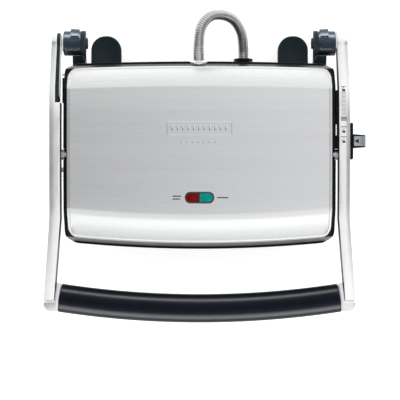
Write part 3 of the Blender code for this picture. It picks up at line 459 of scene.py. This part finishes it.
# ------------------------------------------------------------------------------ rear stands
# Two slate-coloured tongues moulded with the base. The cord is wound round them, and the closed press is
# stored standing on them. Each has a raised rim round a slightly sunken panel.
STAND_ROUND = 0.0168
STAND_EDGE = 0.0011
slate = surface("slate_plastic", (0.012, 0.025, 0.033), 0.44, grain=2400, relief=0.00003, shine=0.2)
for side in ("left", "right"):
    low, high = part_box(f"rear_stand_{side}")
    tongue = rounded_block(f"cord_tongue_{side}", low, high)
    select(tongue, "EDGE", lambda e: is_upright(e) and e.verts[0].co.y > low.y + 0.01)
    bpy.ops.mesh.bevel(offset=STAND_ROUND, segments=14)
    select(tongue, "EDGE", lambda e: rim_edges(high.z)(e) or rim_edges(low.z)(e))
    bpy.ops.mesh.bevel(offset=STAND_EDGE, segments=3)
    select(tongue, "FACE", lambda f: f.normal.z > 0.9 and f.calc_area() > 1e-4)
    bpy.ops.mesh.inset(thickness=0.0012)
    bpy.ops.mesh.inset(thickness=0.0006, depth=-0.0004)
    close_up(tongue)
    wear(tongue, slate)
    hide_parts(f"rear_stand_{side}")
    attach(tongue, "base")

# ------------------------------------------------------------------------------ hinge towers
# Glass-filled brackets screwed to the base's rear wall, each with a gusset and a round eye that holds the
# hinge pin. Their edges are rounded as moulded.


def copy_node(node, name):
    """A copy of a CAD node, its triangles merged into whole faces, ready for finer edges."""
    bench()
    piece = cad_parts[node].copy()
    piece.data = piece.data.copy()
    piece.parent = None
    piece.name = name
    for key in list(piece.keys()):
        del piece[key]
    bpy.context.scene.collection.objects.link(piece)
    bench(piece, "EDIT")
    bpy.ops.mesh.select_all(action="SELECT")
    bpy.ops.mesh.remove_doubles(threshold=2e-6)
    bpy.ops.mesh.dissolve_limited(angle_limit=math.radians(0.6))
    bench(piece)
    return piece


def round_edges(piece, width, segments=3, angle=40):
    """Rounds all edges of a piece that are sharper than an angle."""
    sharp = math.radians(angle)
    modify(piece, "BEVEL", width=width, segments=segments, limit_method="ANGLE", angle_limit=sharp)


def stand_in(piece, look, node, body):
    """Finishes a piece that takes the place of a CAD node."""
    wear(piece, look)
    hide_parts(node)
    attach(piece, body)


for side in ("left", "right"):
    tower = copy_node(f"hinge_tower_{side}", f"hinge_bracket_{side}")
    round_edges(tower, 0.0008)
    close_up(tower, 40)
    stand_in(tower, slate, f"hinge_tower_{side}", "base")
    tower.visible_glossy = False
blackened = surface("blackened_steel", (0.03, 0.032, 0.035), 0.36, 0.6, grain=900, relief=0.000004)
coat(blackened, "hinge_pin_left", "hinge_pin_right")

# ------------------------------------------------------------------------------ hinge barrels
# The turning knuckles: plastic drums round the hinge pins with a torsion spring inside and a stop lug, a
# tapered rib, on the rear of the top. A thin silver washer lies between each drum and its arm.
BARREL_RADIUS = 0.0140
BARREL_BORE = 0.0106
BARREL_EDGE = 0.0011
LUG_HEIGHT = 0.0028
LUG_X = (0.1375, 0.1457)  # from the press's middle
LUG_ANGLES = (10, 66)  # round the pin, in degrees up from the rear
RING_AT = 0.0068  # two fine grooves round the drum, from its middle
RING_HALF = 0.0004
pin_low, pin_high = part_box("hinge_pin_left")
hinge = Vector((0, (pin_low.y + pin_high.y) / 2, (pin_low.z + pin_high.z) / 2))
barrel_plastic = surface(
    "barrel_plastic", (0.004, 0.009, 0.014), 0.32, grain=2400, relief=0.00003, shine=0.16
)
for side, sign in (("left", -1), ("right", 1)):
    low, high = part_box(f"hinge_barrel_{side}")
    middle_x = (low.x + high.x) / 2
    bench()
    bpy.ops.mesh.primitive_cylinder_add(
        vertices=72,
        radius=BARREL_RADIUS,
        depth=high.x - low.x,
        location=(middle_x, hinge.y, hinge.z),
        rotation=(0, math.pi / 2, 0),
    )
    barrel = bpy.context.object
    barrel.name = f"hinge_drum_{side}"
    bpy.ops.object.transform_apply(location=True, rotation=True, scale=True)
    bench(barrel, "EDIT")
    select(barrel, "EDGE", lambda e: abs(e.verts[0].co.x - e.verts[1].co.x) < 1e-6)
    bpy.ops.mesh.bevel(offset=BARREL_EDGE, segments=3)
    select(barrel, "FACE", lambda f: abs(f.normal.x) > 0.99)
    bpy.ops.mesh.inset(thickness=BARREL_RADIUS - BARREL_EDGE - BARREL_BORE)
    bpy.ops.mesh.bridge_edge_loops()
    outer = middle_x + sign * RING_AT
    inner = middle_x - sign * RING_AT
    cut_across(barrel, 0, [x + step for x in (outer, inner) for step in (-RING_HALF, RING_HALF)])

    def from_axis(point):
        return (point - hinge).yz

    select(
        barrel,
        "FACE",
        lambda f: min(abs(f.calc_center_median().x - outer), abs(f.calc_center_median().x - inner)) < 1e-4
        and from_axis(f.calc_center_median()).length > BARREL_BORE + 0.001,
    )
    bpy.ops.mesh.extrude_region_shrink_fatten(TRANSFORM_OT_shrink_fatten={"value": -0.0004})
    lug_x = sorted(sign * x + press_x for x in LUG_X)
    cut_across(barrel, 0, lug_x)

    def on_lug(face):
        middle = face.calc_center_median()
        spoke = from_axis(middle)
        within = LUG_ANGLES[0] < math.degrees(math.atan2(spoke.y, spoke.x)) < LUG_ANGLES[1]
        return lug_x[0] < middle.x < lug_x[1] and within and spoke.length > BARREL_RADIUS - 0.0006

    select(barrel, "FACE", on_lug)
    bpy.ops.mesh.extrude_region_shrink_fatten(TRANSFORM_OT_shrink_fatten={"value": LUG_HEIGHT})
    close_up(barrel, 40)
    stand_in(barrel, barrel_plastic, f"hinge_barrel_{side}", "hinge_knuckles")
    dark_parts.objects.link(barrel)
    barrel.visible_glossy = False

# ------------------------------------------------------------------------------ arms
# Two die-cast aluminium arms, blasted and lacquered silver. Their outer top edge is broadly rounded. Their
# inner side faces get the dark slate finish as painted shade, for the inner wall that stands in shade.
SPREAD_START = -0.059  # where the arms begin to spread
SHOULDER = 0.0058
SHOULDER_DROP = 0.0021
SHOULDER_STEPS = (0.0012 / SHOULDER, 0.33, 0.55, 0.78, 1.0)
silver = surface(
    "arm_alloy", (0.88, 0.88, 0.885), 0.30, 0.9, grain=2800, relief=0.000012, tone=0.05, spread=0.04
)
coat(silver, "hinge_washer_left", "hinge_washer_right")
for side, sign in (("left", -1), ("right", 1)):
    low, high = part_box(f"arm_{side}")
    arm = copy_node(f"arm_{side}", f"silver_arm_{side}")
    bench(arm, "EDIT")
    wide = max(abs(v.co.x - press_x) for v in arm.data.vertices if v.co.y > SPREAD_START)
    ends_wide = max(abs(v.co.x - press_x) for v in arm.data.vertices)

    def edge_of(point):
        """How far a point is from the arm's outer side."""
        spread = max(0.0, (SPREAD_START - point.y) / (SPREAD_START - low.y))
        return wide + (ends_wide - wide) * spread - abs(point.x - press_x)

    for share in SHOULDER_STEPS:
        bpy.ops.mesh.select_all(action="SELECT")
        place = press_x + sign * (wide - SHOULDER * share)
        bpy.ops.mesh.bisect(plane_co=(place, SPREAD_START, 0), plane_no=(sign, 0, 0))
        bpy.ops.mesh.select_all(action="SELECT")
        way = (sign, (ends_wide - wide) / (SPREAD_START - low.y), 0)
        bpy.ops.mesh.bisect(plane_co=(place, SPREAD_START, 0), plane_no=way)
    mesh = bmesh.from_edit_mesh(arm.data)
    mesh.normal_update()
    upper = [v for v in mesh.verts if v.co.z > 0.09 and any(f.normal.z > 0.3 for f in v.link_faces)]
    top_points = {v.index: edge_of(v.co) for v in upper}
    for distance in sorted({round(d, 5) for d in top_points.values()}):
        if distance < SHOULDER:
            share = 1 - max(distance, 0.0) / SHOULDER
            select(arm, "VERT", lambda v: round(top_points.get(v.index, 1.0), 5) == distance)
            bpy.ops.transform.translate(value=(0, 0, -SHOULDER_DROP * share**2))
    bench(arm)
    round_edges(arm, 0.0008, 3, 48)
    close_up(arm, 30)
    stand_in(arm, silver, f"arm_{side}", "arm_frame")
    # The faces that look inward, towards the lid, get the dark slate finish: painted shade for the shaded
    # inner wall.
    arm.data.materials.append(slate)
    for face in arm.data.polygons:
        if face.normal.x * sign < -0.9:
            face.material_index = 1
coat(slate, "arm_insert_left")
coat(bright_steel, "spring_rod_left", "pivot_pin_left", "pivot_pin_right")
rail = copy_node("height_rail", "scale_rail")
rail_low, rail_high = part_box("height_rail")
window = rounded_block(
    "window",
    (rail_low.x - 0.001, rail_low.y + 0.0150, rail_low.z - 0.001),
    (rail_low.x + 0.0017, rail_low.y + 0.0276, rail_high.z + 0.001),
)
cut_away(rail, window)
round_edges(rail, 0.0003, 2)
close_up(rail)
stand_in(rail, black_plastic, "height_rail", "arm_frame")

arm_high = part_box("arm_left")[1]
guard = rounded_block(
    "rod_guard",
    (arm_high.x + 0.0001, rail_high.y - 0.0130, 0.0780),
    (arm_high.x + 0.0027, rail_high.y + 0.0154, 0.0925),
)
select(guard, "FACE", lambda f: f.normal.y < -0.9)
bpy.ops.transform.resize(value=(0.4, 1, 0.6), center_override=(arm_high.x, rail_high.y, 0.0925))
round_edges(guard, 0.0004, 2)
close_up(guard)
wear(guard, black_plastic)
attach(guard, "arm_frame")

# ------------------------------------------------------------------------------ arm scale
# Lines, fine ticks and two plain lock signs are printed in dark ink on the top of the right arm. They show
# how far the height slider is set.
INK_FILM = 0.00008
MARK_X = (0.1577, 0.1640)  # across the arm, from the press's middle
ink = surface("print_ink", (0.012, 0.012, 0.014), 0.55, grain=2600, relief=0.00001)
tick_ink = surface("tick_ink", (0.14, 0.14, 0.14), 0.55, grain=2600, relief=0.00001)
right_arm = bpy.data.objects["silver_arm_right"]
scale_base = rail_high.y - 0.1231  # the scale's own zero along the arm


def printed(name, marks, look):
    """Flat marks, each (left, right, front, rear), laid on the arm's top as a thin film."""
    for index, (x0, x1, y0, y1) in enumerate(marks):
        bench()
        bpy.ops.mesh.primitive_grid_add(
            x_subdivisions=4,
            y_subdivisions=1,
            size=1,
            location=(press_x + (x0 + x1) / 2, scale_base + (y0 + y1) / 2, 0.13),
        )
        mark = bpy.context.object
        mark.scale = (x1 - x0, y1 - y0, 1)
        bpy.ops.object.transform_apply(location=True, rotation=True, scale=True)
        if index == 0:
            film = mark
            film.name = name
        else:
            film.select_set(True)
            bpy.context.view_layer.objects.active = film
            bpy.ops.object.join()
    modify(
        film,
        "SHRINKWRAP",
        target=right_arm,
        wrap_method="PROJECT",
        use_project_z=True,
        use_negative_direction=True,
        use_positive_direction=False,
        offset=-0.00002,
    )
    modify(film, "SOLIDIFY", thickness=INK_FILM, offset=1.0)
    close_up(film)
    wear(film, look)
    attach(film, "arm_frame")


left_x, right_x = MARK_X
middle_x = (left_x + right_x) / 2
lines = [(left_x, right_x, y, y + 0.0008) for y in (0.1262, 0.0812, 0.0700)]
lines += [(left_x, right_x, 0.0886 + 0.0017 * i, 0.0897 + 0.0017 * i) for i in range(3)]
for y in (0.1228, 0.0762, 0.0650):
    lines.append((middle_x - 0.0004, middle_x + 0.0004, y + 0.0022, y + 0.0036))
    lines.append((middle_x - 0.0016, middle_x + 0.0016, y - 0.0012, y + 0.0012))
    lines.append((middle_x - 0.0021, middle_x - 0.0013, y + 0.0012, y + 0.0022))
printed("scale_lines", lines, ink)
tick_x = (left_x + 0.0006, right_x - 0.0006)
printed("scale_ticks", [(*tick_x, y, y + 0.0005) for y in spaced(0.0935, 0.1225, 20)], tick_ink)

# ------------------------------------------------------------------------------ handle
# A steel tube bent to a wide arc carries a thick soft-touch grip. Silver castings close both ends and are
# pinned to the arms.
GRIP_RADIUS = 0.0162
GRIP_BORE = 0.0123
GRIP_ARC = 1.048
GRIP_HALF = 0.1580
grip_low, grip_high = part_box("handle_grip")
arc_centre = Vector((press_x, grip_low.y + GRIP_RADIUS + GRIP_ARC, (grip_low.z + grip_high.z) / 2))
reach = math.asin(GRIP_HALF / GRIP_ARC)
grip_start = arc_centre + GRIP_ARC * Vector((-math.sin(reach), -math.cos(reach), 0))
GRIP_EDGE = 0.0009
CASTING_EDGE = 0.0018
soft_touch = surface(
    "grip", (0.0010, 0.0014, 0.0025), 0.31, grain=3000, relief=0.00001, tone=0.1, spread=0.03, shine=0.05
)
bench()
for radius in (GRIP_RADIUS, GRIP_BORE):
    bpy.ops.mesh.primitive_circle_add(
        vertices=56, radius=radius, location=grip_start, rotation=(0, math.pi / 2, -reach)
    )
    if radius == GRIP_RADIUS:
        grip = bpy.context.object
        grip.name = "soft_grip"
        bpy.ops.object.transform_apply(location=True, rotation=True, scale=True)
        bench(grip, "EDIT")
bpy.ops.mesh.select_all(action="SELECT")
bpy.ops.mesh.spin(steps=28, angle=-2 * reach, center=arc_centre, axis=(0, 0, 1))
for end in (-1, 1):
    select(
        grip,
        "EDGE",
        lambda e: len(e.link_faces) == 1 and all((v.co.x - press_x) * end > 0 for v in e.verts),
    )
    bpy.ops.mesh.bridge_edge_loops()
close_up(grip)
round_edges(grip, GRIP_EDGE)
close_up(grip)
stand_in(grip, soft_touch, "handle_grip", "arm_frame")
dark_parts.objects.link(grip)
coat(bright_steel, "handle_core")
for side in ("left", "right"):
    low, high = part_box(f"handle_end_{side}")
    casting = copy_node(f"handle_end_{side}", f"handle_casting_{side}")
    bench(casting, "EDIT")
    select(
        casting,
        "EDGE",
        lambda e: all(min(v.co.z - low.z, high.z - v.co.z) < 1e-5 for v in e.verts)
        and any(abs(f.normal.z) < 0.5 for f in e.link_faces),
    )
    bpy.ops.mesh.bevel(offset=CASTING_EDGE, segments=4, clamp_overlap=True)
    close_up(casting, 40)
    stand_in(casting, silver, f"handle_end_{side}", "arm_frame")

# ------------------------------------------------------------------------------ lid frame
# The lid's black frame is one heat-proof moulding: a ledge round the foot, leaning front and rear walls and
# an arched deck that the steel cover lies on. It is hollow below for the upper plate.
FRAME_CORNER = 0.013
FRAME_WALL = 0.0030
LEDGE_WIDTH = 0.0021
LEDGE_Z = 0.0690
TOP_ROUND = 0.0009
PIVOT_HOLE = 0.0063
SIDE_AT = 0.1525  # the frame's sides, from the press's middle
NOTCH_HALF = (0.0035, 0.0064)
DECK_DROP = 0.0030
cover_low, cover_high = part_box("lid_cover")
crown_z = cover_high.z
crease_z = crown_z - 0.0025
edge_z = crown_z - 0.0195
rear_crease = cover_high.y - 0.0216
front_crease = cover_low.y + 0.0296
arch_middle = (rear_crease + front_crease) / 2
lid_pocket = 0.0925


def cover_height(y):
    """The arched cover from the side: a low crown between two slopes, with soft creases."""
    crown = crown_z - (crown_z - crease_z) * ((y - arch_middle) / (rear_crease - arch_middle)) ** 2
    rear = crease_z - (y - rear_crease) * (crease_z - edge_z) / (cover_high.y - rear_crease)
    front = crease_z - (front_crease - y) * (crease_z - edge_z) / (front_crease - cover_low.y)
    slope = min(rear, front)
    soft = 0.0024
    return min(crown, slope) - max(soft - abs(crown - slope), 0) ** 2 / (4 * soft)


def deck_height(y):
    """The frame's top from the side: a deck under the cover, steep walls outside it, then the ledge."""
    if y > cover_high.y:
        share = (y - cover_high.y) / (lid_high.y - LEDGE_WIDTH - cover_high.y)
    elif y < cover_low.y:
        share = (cover_low.y - y) / (cover_low.y - LEDGE_WIDTH - lid_low.y)
    else:
        return cover_height(y) - DECK_DROP
    return edge_z - DECK_DROP + (LEDGE_Z - edge_z + DECK_DROP) * min(share, 1.0)


crease_steps = (-0.0042, -0.003, -0.002, -0.001, 0, 0.001, 0.002, 0.003, 0.0042)
crease_rows = [crease + step for crease in (rear_crease, front_crease) for step in crease_steps]
arch_rows = crease_rows + spaced(front_crease + 0.004, rear_crease - 0.004, 10)
bow_columns = spaced(cover_low.x, cover_high.x, 26)
frame_piece = rounded_block("lid_surround", lid_low, lid_high, FRAME_CORNER, 10)
select(frame_piece, "EDGE", rim_edges(lid_high.z))
bpy.ops.mesh.bevel(offset=TOP_ROUND, segments=3)
select(frame_piece, "FACE", lambda f: f.normal.z < -0.9)
bpy.ops.mesh.inset(thickness=FRAME_WALL)
frame_hollow = lid_high.z - lid_low.z - FRAME_WALL
bpy.ops.mesh.extrude_region_move(TRANSFORM_OT_translate={"value": (0, 0, frame_hollow)})
bpy.ops.transform.resize(value=(1, 0.925, 1), center_override=((lid_low + lid_high) / 2))
wall_rows = [cover_high.y, cover_low.y, lid_high.y - LEDGE_WIDTH, lid_low.y + LEDGE_WIDTH]
cut_across(frame_piece, 1, arch_rows + wall_rows)
upper_z = lid_high.z - 0.010
move_rows(frame_piece, 1, (0, 0, 1), lambda y: deck_height(y) - lid_high.z, lambda co: co.z > upper_z)
cut_across(frame_piece, 0, bow_columns)
bow_plan(frame_piece)
close_up(frame_piece, 30)
pivot_low, pivot_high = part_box("pivot_bush_left")
pivot = (pivot_low + pivot_high) / 2
for sign in (-1, 1):
    bench()
    bpy.ops.mesh.primitive_cylinder_add(
        vertices=48,
        radius=PIVOT_HOLE,
        depth=0.016,
        location=(press_x + sign * 0.148, pivot.y, pivot.z),
        rotation=(0, math.pi / 2, 0),
    )
    cut_away(frame_piece, bpy.context.object)
    notch = rounded_block(
        "notch",
        (press_x + sign * SIDE_AT - NOTCH_HALF[0], pivot.y - NOTCH_HALF[1], pivot.z + 0.0010),
        (press_x + sign * SIDE_AT + NOTCH_HALF[0], pivot.y + NOTCH_HALF[1], pivot.z + 0.020),
    )
    cut_away(frame_piece, notch)
wear(frame_piece, black_plastic)
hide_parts("lid_frame")
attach(frame_piece, "lid")
pivot_metal = surface("bezel_metal", (0.45, 0.45, 0.46), 0.34, 1.0, grain=900, relief=0.000004, tone=0.08)
coat(pivot_metal, "pivot_bush_left", "pivot_bush_right")
polished = surface("polished_pin", (0.92, 0.92, 0.92), 0.30, 0.7, grain=900, relief=0.000004, tone=0.03)
coat(polished, "stop_pin_rear", "stop_pin_front")
coat(bright_steel, "thermal_fuse")
coat(black_plastic, "lamp_holder")

# ------------------------------------------------------------------------------ lid cover
# A pressed stainless sheet, brushed from side to side, with a rolled edge and a fine groove just inside it.
# It clips over the frame's deck and has a slot for the lamps.
COVER_CORNER = 0.011
COVER_SHEET = 0.0012
COVER_EDGE = 0.0013
GROOVE_STEPS = ((0.0013, 0), (0.0004, -0.00028), (0.0003, 0), (0.0004, 0.00028))
brushed = surface(
    "stainless",
    (0.69, 0.695, 0.70),
    0.26,
    1.0,
    grain=1900,
    stretch=(0.02, 1, 1),
    relief=0.000009,
    tone=0.06,
    spread=0.03,
)
cover_depth = edge_z - cover_low.z
cover = rounded_block(
    "steel_cover",
    (cover_low.x, cover_low.y, edge_z - cover_depth),
    (cover_high.x, cover_high.y, edge_z),
    COVER_CORNER,
    10,
)
select(cover, "FACE", lambda f: f.normal.z < -0.9)
bpy.ops.mesh.inset(thickness=COVER_SHEET)
bpy.ops.mesh.extrude_region_move(TRANSFORM_OT_translate={"value": (0, 0, cover_depth - COVER_SHEET)})
select(cover, "EDGE", rim_edges(edge_z))
bpy.ops.mesh.bevel(offset=COVER_EDGE, segments=4)
select(cover, "FACE", lambda f: f.normal.z > 0.99)
for thickness, depth in GROOVE_STEPS:
    bpy.ops.mesh.inset(thickness=thickness, depth=depth)
cut_across(cover, 1, arch_rows)
move_rows(cover, 1, (0, 0, 1), lambda y: cover_height(y) - edge_z, lambda co: True)
cut_across(cover, 0, bow_columns)
bow_plan(cover)
close_up(cover, 30)
bezel_low, bezel_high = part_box("lamp_bezel")
LAMP_GAP = 0.0003
slot = rounded_block(
    "slot",
    (bezel_low.x - LAMP_GAP, bezel_low.y - LAMP_GAP, lid_pocket),
    (bezel_high.x + LAMP_GAP, bezel_high.y + LAMP_GAP, crown_z + 0.01),
    (bezel_high.y - bezel_low.y) / 2,
    10,
)
cut_away(cover, slot)
wear(cover, brushed)
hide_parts("lid_cover")
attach(cover, "lid")

# ------------------------------------------------------------------------------ cover emboss
# A plain frame with a row of upright bars, and a row of dots in front of it, are pressed up into the cover.
# They stand where a maker would put a badge, and mean nothing.
EMBOSS_RISE = 0.0008
EMBOSS_EDGE = 0.0004
BORDER_WIDTH = 0.0011
BAR_HALF = 0.0014
BAR_PITCH = 0.0060
DOT_HALF = 0.0017
DOT_PITCH = 0.0062
badge_y = (cover_high.y - 0.0796, cover_high.y - 0.0636)
badge_half = 0.0365


def pressed_block(name, x, y, corner):
    """A small block that stands out of the cover's top and follows its arch."""
    middle = (y[0] + y[1]) / 2
    top = cover_height(middle)
    block = rounded_block(name, (x[0], y[0], top - 0.0006), (x[1], y[1], top + EMBOSS_RISE), corner, 4)
    move_rows(block, 1, (0, 0, 1), lambda at: cover_height(at) - top, lambda co: True)
    if name != "cover_emboss":
        round_edges(block, EMBOSS_EDGE, 2)
    return block


border = pressed_block("cover_emboss", (press_x - badge_half, press_x + badge_half), badge_y, 0.0026)
select(border, "FACE", lambda f: abs(f.normal.z) > 0.9)
bpy.ops.mesh.inset(thickness=BORDER_WIDTH)
bpy.ops.mesh.bridge_edge_loops()
bench(border)
round_edges(border, EMBOSS_EDGE * 0.8, 2)
marks = [border]
bar_y = (badge_y[0] + 0.0046, badge_y[1] - 0.0046)
dot_y = (badge_y[0] - 0.0090, badge_y[0] - 0.0058)
for i in range(-5, 6):
    x = press_x + BAR_PITCH * i
    marks.append(pressed_block("bar", (x - BAR_HALF, x + BAR_HALF), bar_y, 0.0006))
for i in range(-3, 4):
    x = press_x + DOT_PITCH * i
    marks.append(pressed_block("dot", (x - DOT_HALF, x + DOT_HALF), dot_y, 0.0012))
bench()
for mark in marks:
    mark.select_set(True)
bpy.context.view_layer.objects.active = border
bpy.ops.object.join()
close_up(border)
wear(border, brushed)
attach(border, "lid")

# ------------------------------------------------------------------------------ lamps
# A slot-shaped bezel of dark metal holds a red and a green lens of clear tinted plastic, which lie over two
# neon lamps. Short plain bars are printed where the words would be.
BEZEL_RIM = 0.0012
LENS_EDGE = 0.0008
bezel_half_y = (bezel_high.y - bezel_low.y) / 2
bezel = rounded_block("lamp_rim", bezel_low, bezel_high, bezel_half_y * 0.999, 12)
select(bezel, "FACE", lambda f: abs(f.normal.z) > 0.9)
bpy.ops.mesh.inset(thickness=BEZEL_RIM)
bpy.ops.mesh.bridge_edge_loops()
round_edges(bezel, 0.0003, 3)
close_up(bezel)
dark_rim = surface("lamp_rim", (0.10, 0.10, 0.105), 0.30, 1.0, grain=900, relief=0.000004)
stand_in(bezel, dark_rim, "lamp_bezel", "lid")


def tinted(name, colour, glow):
    """Clear tinted plastic with a moulded prism pattern behind it, and a faint light inside."""
    made = surface(name, colour, 0.16, grain=420, relief=0.00025, tone=0.45, spread=0.04, shine=0.1)
    shader = made.node_tree.nodes["Principled BSDF"]
    shader.inputs["Emission Color"].default_value = (*colour, 1)
    shader.inputs["Emission Strength"].default_value = glow
    return made


lens_looks = {
    "red": tinted("red_lens", (0.19, 0.002, 0.004), 0.05),
    "green": tinted("green_lens", (0.002, 0.31, 0.27), 0.12),
}
for colour, look in lens_looks.items():
    low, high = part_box(f"lens_{colour}")
    end_x = low.x if colour == "red" else high.x
    lens = rounded_block(f"{colour}_window", low, high)
    select(lens, "EDGE", lambda e: is_upright(e) and abs(e.verts[0].co.x - end_x) < 1e-5)
    bpy.ops.mesh.bevel(offset=(high.y - low.y) / 2 * 0.999, segments=12)
    round_edges(lens, LENS_EDGE, 4)
    close_up(lens)
    stand_in(lens, look, f"lens_{colour}", "lid")
LABEL_RISE = 0.00006
LABEL_HALF = 0.0006
labels = []
lamp_y = (bezel_low.y + bezel_high.y) / 2
for x0, x1, step in ((-0.0300, -0.0205, 0.0016), (-0.0300, -0.0215, -0.0016), (0.0195, 0.0320, 0.0)):
    y0 = lamp_y + step - LABEL_HALF
    top = cover_height(lamp_y + step)
    start = (press_x + x0, y0, top - 0.0003)
    end = (press_x + x1, y0 + 2 * LABEL_HALF, top + LABEL_RISE)
    labels.append(rounded_block("label", start, end, 0.0004, 3))
bench()
for label in labels:
    label.select_set(True)
bpy.context.view_layer.objects.active = labels[0]
bpy.ops.object.join()
labels[0].name = "lamp_labels"
close_up(labels[0])
wear(labels[0], ink)
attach(labels[0], "lid")

# ------------------------------------------------------------------------------ height slider
# A black flange runs along the slot of the right arm. Its knob is a grey plastic key with dark sides, a
# black arrow and three finger ribs.
KNOB_SIDE = 0.0013
FACE_HALF = 0.0053
RIB_GAP = 0.0016  # between the finger ribs
RIB_HALF = 0.0002
RIB_LONG = 0.0046  # half the length of a finger rib
key_grey = surface("key_grey", (0.40, 0.42, 0.44), 0.42, grain=2400, relief=0.00002)
flange = copy_node("slider_flange", "slider_shoe")
close_up(flange)
stand_in(flange, black_plastic, "slider_flange", "slider")
knob_low, knob_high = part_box("slider_knob")
knob = rounded_block("slider_key", knob_low, knob_high)
select(knob, "FACE", lambda f: f.normal.x > 0.9)
bpy.ops.transform.resize(value=(1, 0.87, 1), center_override=((knob_low + knob_high) / 2))
round_edges(knob, 0.0006, 3)
close_up(knob)
stand_in(knob, slate, "slider_knob", "slider")
knob_y = (knob_low.y + knob_high.y) / 2
face_z = knob_high.z + 0.0002
key_face = rounded_block(
    "key_face",
    (knob_low.x + KNOB_SIDE / 2, knob_y - FACE_HALF, face_z - 0.0008),
    (knob_high.x - KNOB_SIDE / 2, knob_y + FACE_HALF, face_z),
    0.0004,
    3,
)
round_edges(key_face, 0.00015, 2)
close_up(key_face)
wear(key_face, key_grey)
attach(key_face, "slider")
bench()
bpy.ops.mesh.primitive_cylinder_add(
    vertices=3,
    radius=0.0032,
    depth=0.0006,
    location=(knob_low.x + 0.0044, knob_y, face_z + 0.0001),
    rotation=(0, 0, math.pi / 2),
)
arrow = bpy.context.object
arrow.name = "key_arrow"
bpy.ops.object.transform_apply(location=True, rotation=True, scale=True)
round_edges(arrow, 0.0001, 2)
for i in range(3):
    x = knob_high.x - 0.0020 - RIB_GAP * i
    start = (x - RIB_HALF, knob_y - RIB_LONG, face_z - 0.0002)
    rib = rounded_block("rib", start, (x + RIB_HALF, knob_y + RIB_LONG, face_z + 0.0003))
    round_edges(rib, 0.0001, 2)
    arrow.select_set(True)
    bpy.context.view_layer.objects.active = arrow
    bpy.ops.object.join()
close_up(arrow)
wear(arrow, ink)
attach(arrow, "slider")

# ------------------------------------------------------------------------------ conduit
# A flexible steel conduit, wound from strip in fine rings, takes the lid's wires round behind and into the
# base. It is cut into three stretches where it would bend as the lid opens. A flanged collar holds it at the
# lid and a plastic one at the base.
CONDUIT_RADIUS = 0.0060
CONDUIT_TILT = math.radians(14)  # of its way out of the lid
RING_PITCH = 0.0024
RING_GROOVE = 0.0009
conduit_metal = surface(
    "conduit_metal", (0.58, 0.58, 0.58), 0.30, 1.0, grain=1200, relief=0.000008, tone=0.10
)
press_datum = Vector((press_x, (lid_low.y + lid_high.y) / 2 - 0.05175, 0))
exit_way = Vector((0, math.cos(CONDUIT_TILT), math.sin(CONDUIT_TILT)))
lid_exit = Vector((-0.0010, 0.1556, 0.0840))
base_exit = Vector((0.0510, 0.1515, 0.0440))
route = [lid_exit - exit_way * 0.006, lid_exit + exit_way * 0.006, lid_exit + exit_way * 0.022]
route += [Vector(p) for p in ((0.0015, 0.1955, 0.0905), (0.0110, 0.2083, 0.0860), (0.0245, 0.2120, 0.0770))]
route += [Vector(p) for p in ((0.0388, 0.2078, 0.0660), (0.0484, 0.1945, 0.0545))]
route += [base_exit + Vector((0, 0.0250, 0.002)), base_exit + Vector((0, 0.0140, 0))]
route.append(base_exit - Vector((0, 0.0030, 0)))


def smooth_path(points, steps):
    """Points on a Catmull-Rom curve through the given points."""
    ends = [2 * points[0] - points[1], *points, 2 * points[-1] - points[-2]]
    path = []
    for a, b, c, d in zip(ends, ends[1:], ends[2:], ends[3:]):
        for t in (i / steps for i in range(steps)):
            curve = 2 * b + (c - a) * t + (2 * a - 5 * b + 4 * c - d) * t**2 + (3 * b - a - 3 * c + d) * t**3
            path.append(curve / 2)
    return [*path, points[-1]]


centreline = [point + press_datum for point in smooth_path(route, 12)]
conduit_length = sum((b - a).length for a, b in zip(centreline, centreline[1:]))
guide_curve = bpy.data.curves.new("guide", "CURVE")
guide_curve.dimensions = "3D"
guide_line = guide_curve.splines.new("POLY")
guide_line.points.add(len(centreline) - 1)
for point, place in zip(guide_line.points, centreline):
    point.co = (*place, 1)
guide = bpy.data.objects.new("guide", guide_curve)
bpy.context.scene.collection.objects.link(guide)
bench()
ring_count = round(conduit_length / RING_PITCH)
bpy.ops.mesh.primitive_cylinder_add(
    vertices=24,
    radius=CONDUIT_RADIUS,
    depth=conduit_length,
    location=(conduit_length / 2, 0, 0),
    rotation=(0, math.pi / 2, 0),
)
hose = bpy.context.object
bpy.ops.object.transform_apply(location=True, rotation=True, scale=True)
bench(hose, "EDIT")
pitch = conduit_length / ring_count
ring_shares = (0.12, 0.38, 0.62, 0.88)
cut_across(hose, 0, [pitch * (i + share) for i in range(ring_count) for share in ring_shares])
cut_across(hose, 0, [pitch * i for i in range(1, ring_count)])
select(
    hose,
    "VERT",
    lambda v: 1e-5 < v.co.x < conduit_length - 1e-5 and abs(v.co.x / pitch - round(v.co.x / pitch)) < 0.05,
)
throat = 1 - RING_GROOVE / CONDUIT_RADIUS
bpy.ops.transform.resize(value=(1, throat, throat), center_override=(0, 0, 0))
bench(hose)
modify(hose, "CURVE", object=guide, deform_axis="POS_X")
bpy.data.objects.remove(guide)
close_up(hose, 60)
JOINTS_X = (press_x + 0.025, press_x + 0.012)
stretches = {
    "conduit_base_part": (None, JOINTS_X[0], "base", "hinge_knuckles", 0.0505, 0.025),
    "conduit_middle_part": (JOINTS_X[0], JOINTS_X[1], "hinge_knuckles", "arm_frame", 0.025, 0.012),
    "conduit_lid_part": (JOINTS_X[1], None, "arm_frame", "lid", 0.012, -0.001),
}
for name, (right, left, body_a, body_b, start_x, end_x) in stretches.items():
    bench()
    part = hose.copy()
    part.data = hose.data.copy()
    part.name = name
    bpy.context.scene.collection.objects.link(part)
    bench(part, "EDIT")
    for place, way in ((right, 1), (left, -1)):
        if place is not None:
            bpy.ops.mesh.select_all(action="SELECT")
            bpy.ops.mesh.bisect(plane_co=(place, 0, 0), plane_no=(way, 0, 0), clear_outer=True, use_fill=True)
    close_up(part, 60)
    wear(part, conduit_metal)
    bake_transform(part)
bpy.data.objects.remove(hose)
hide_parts("conduit")
coat(silver, "conduit_lid_collar")
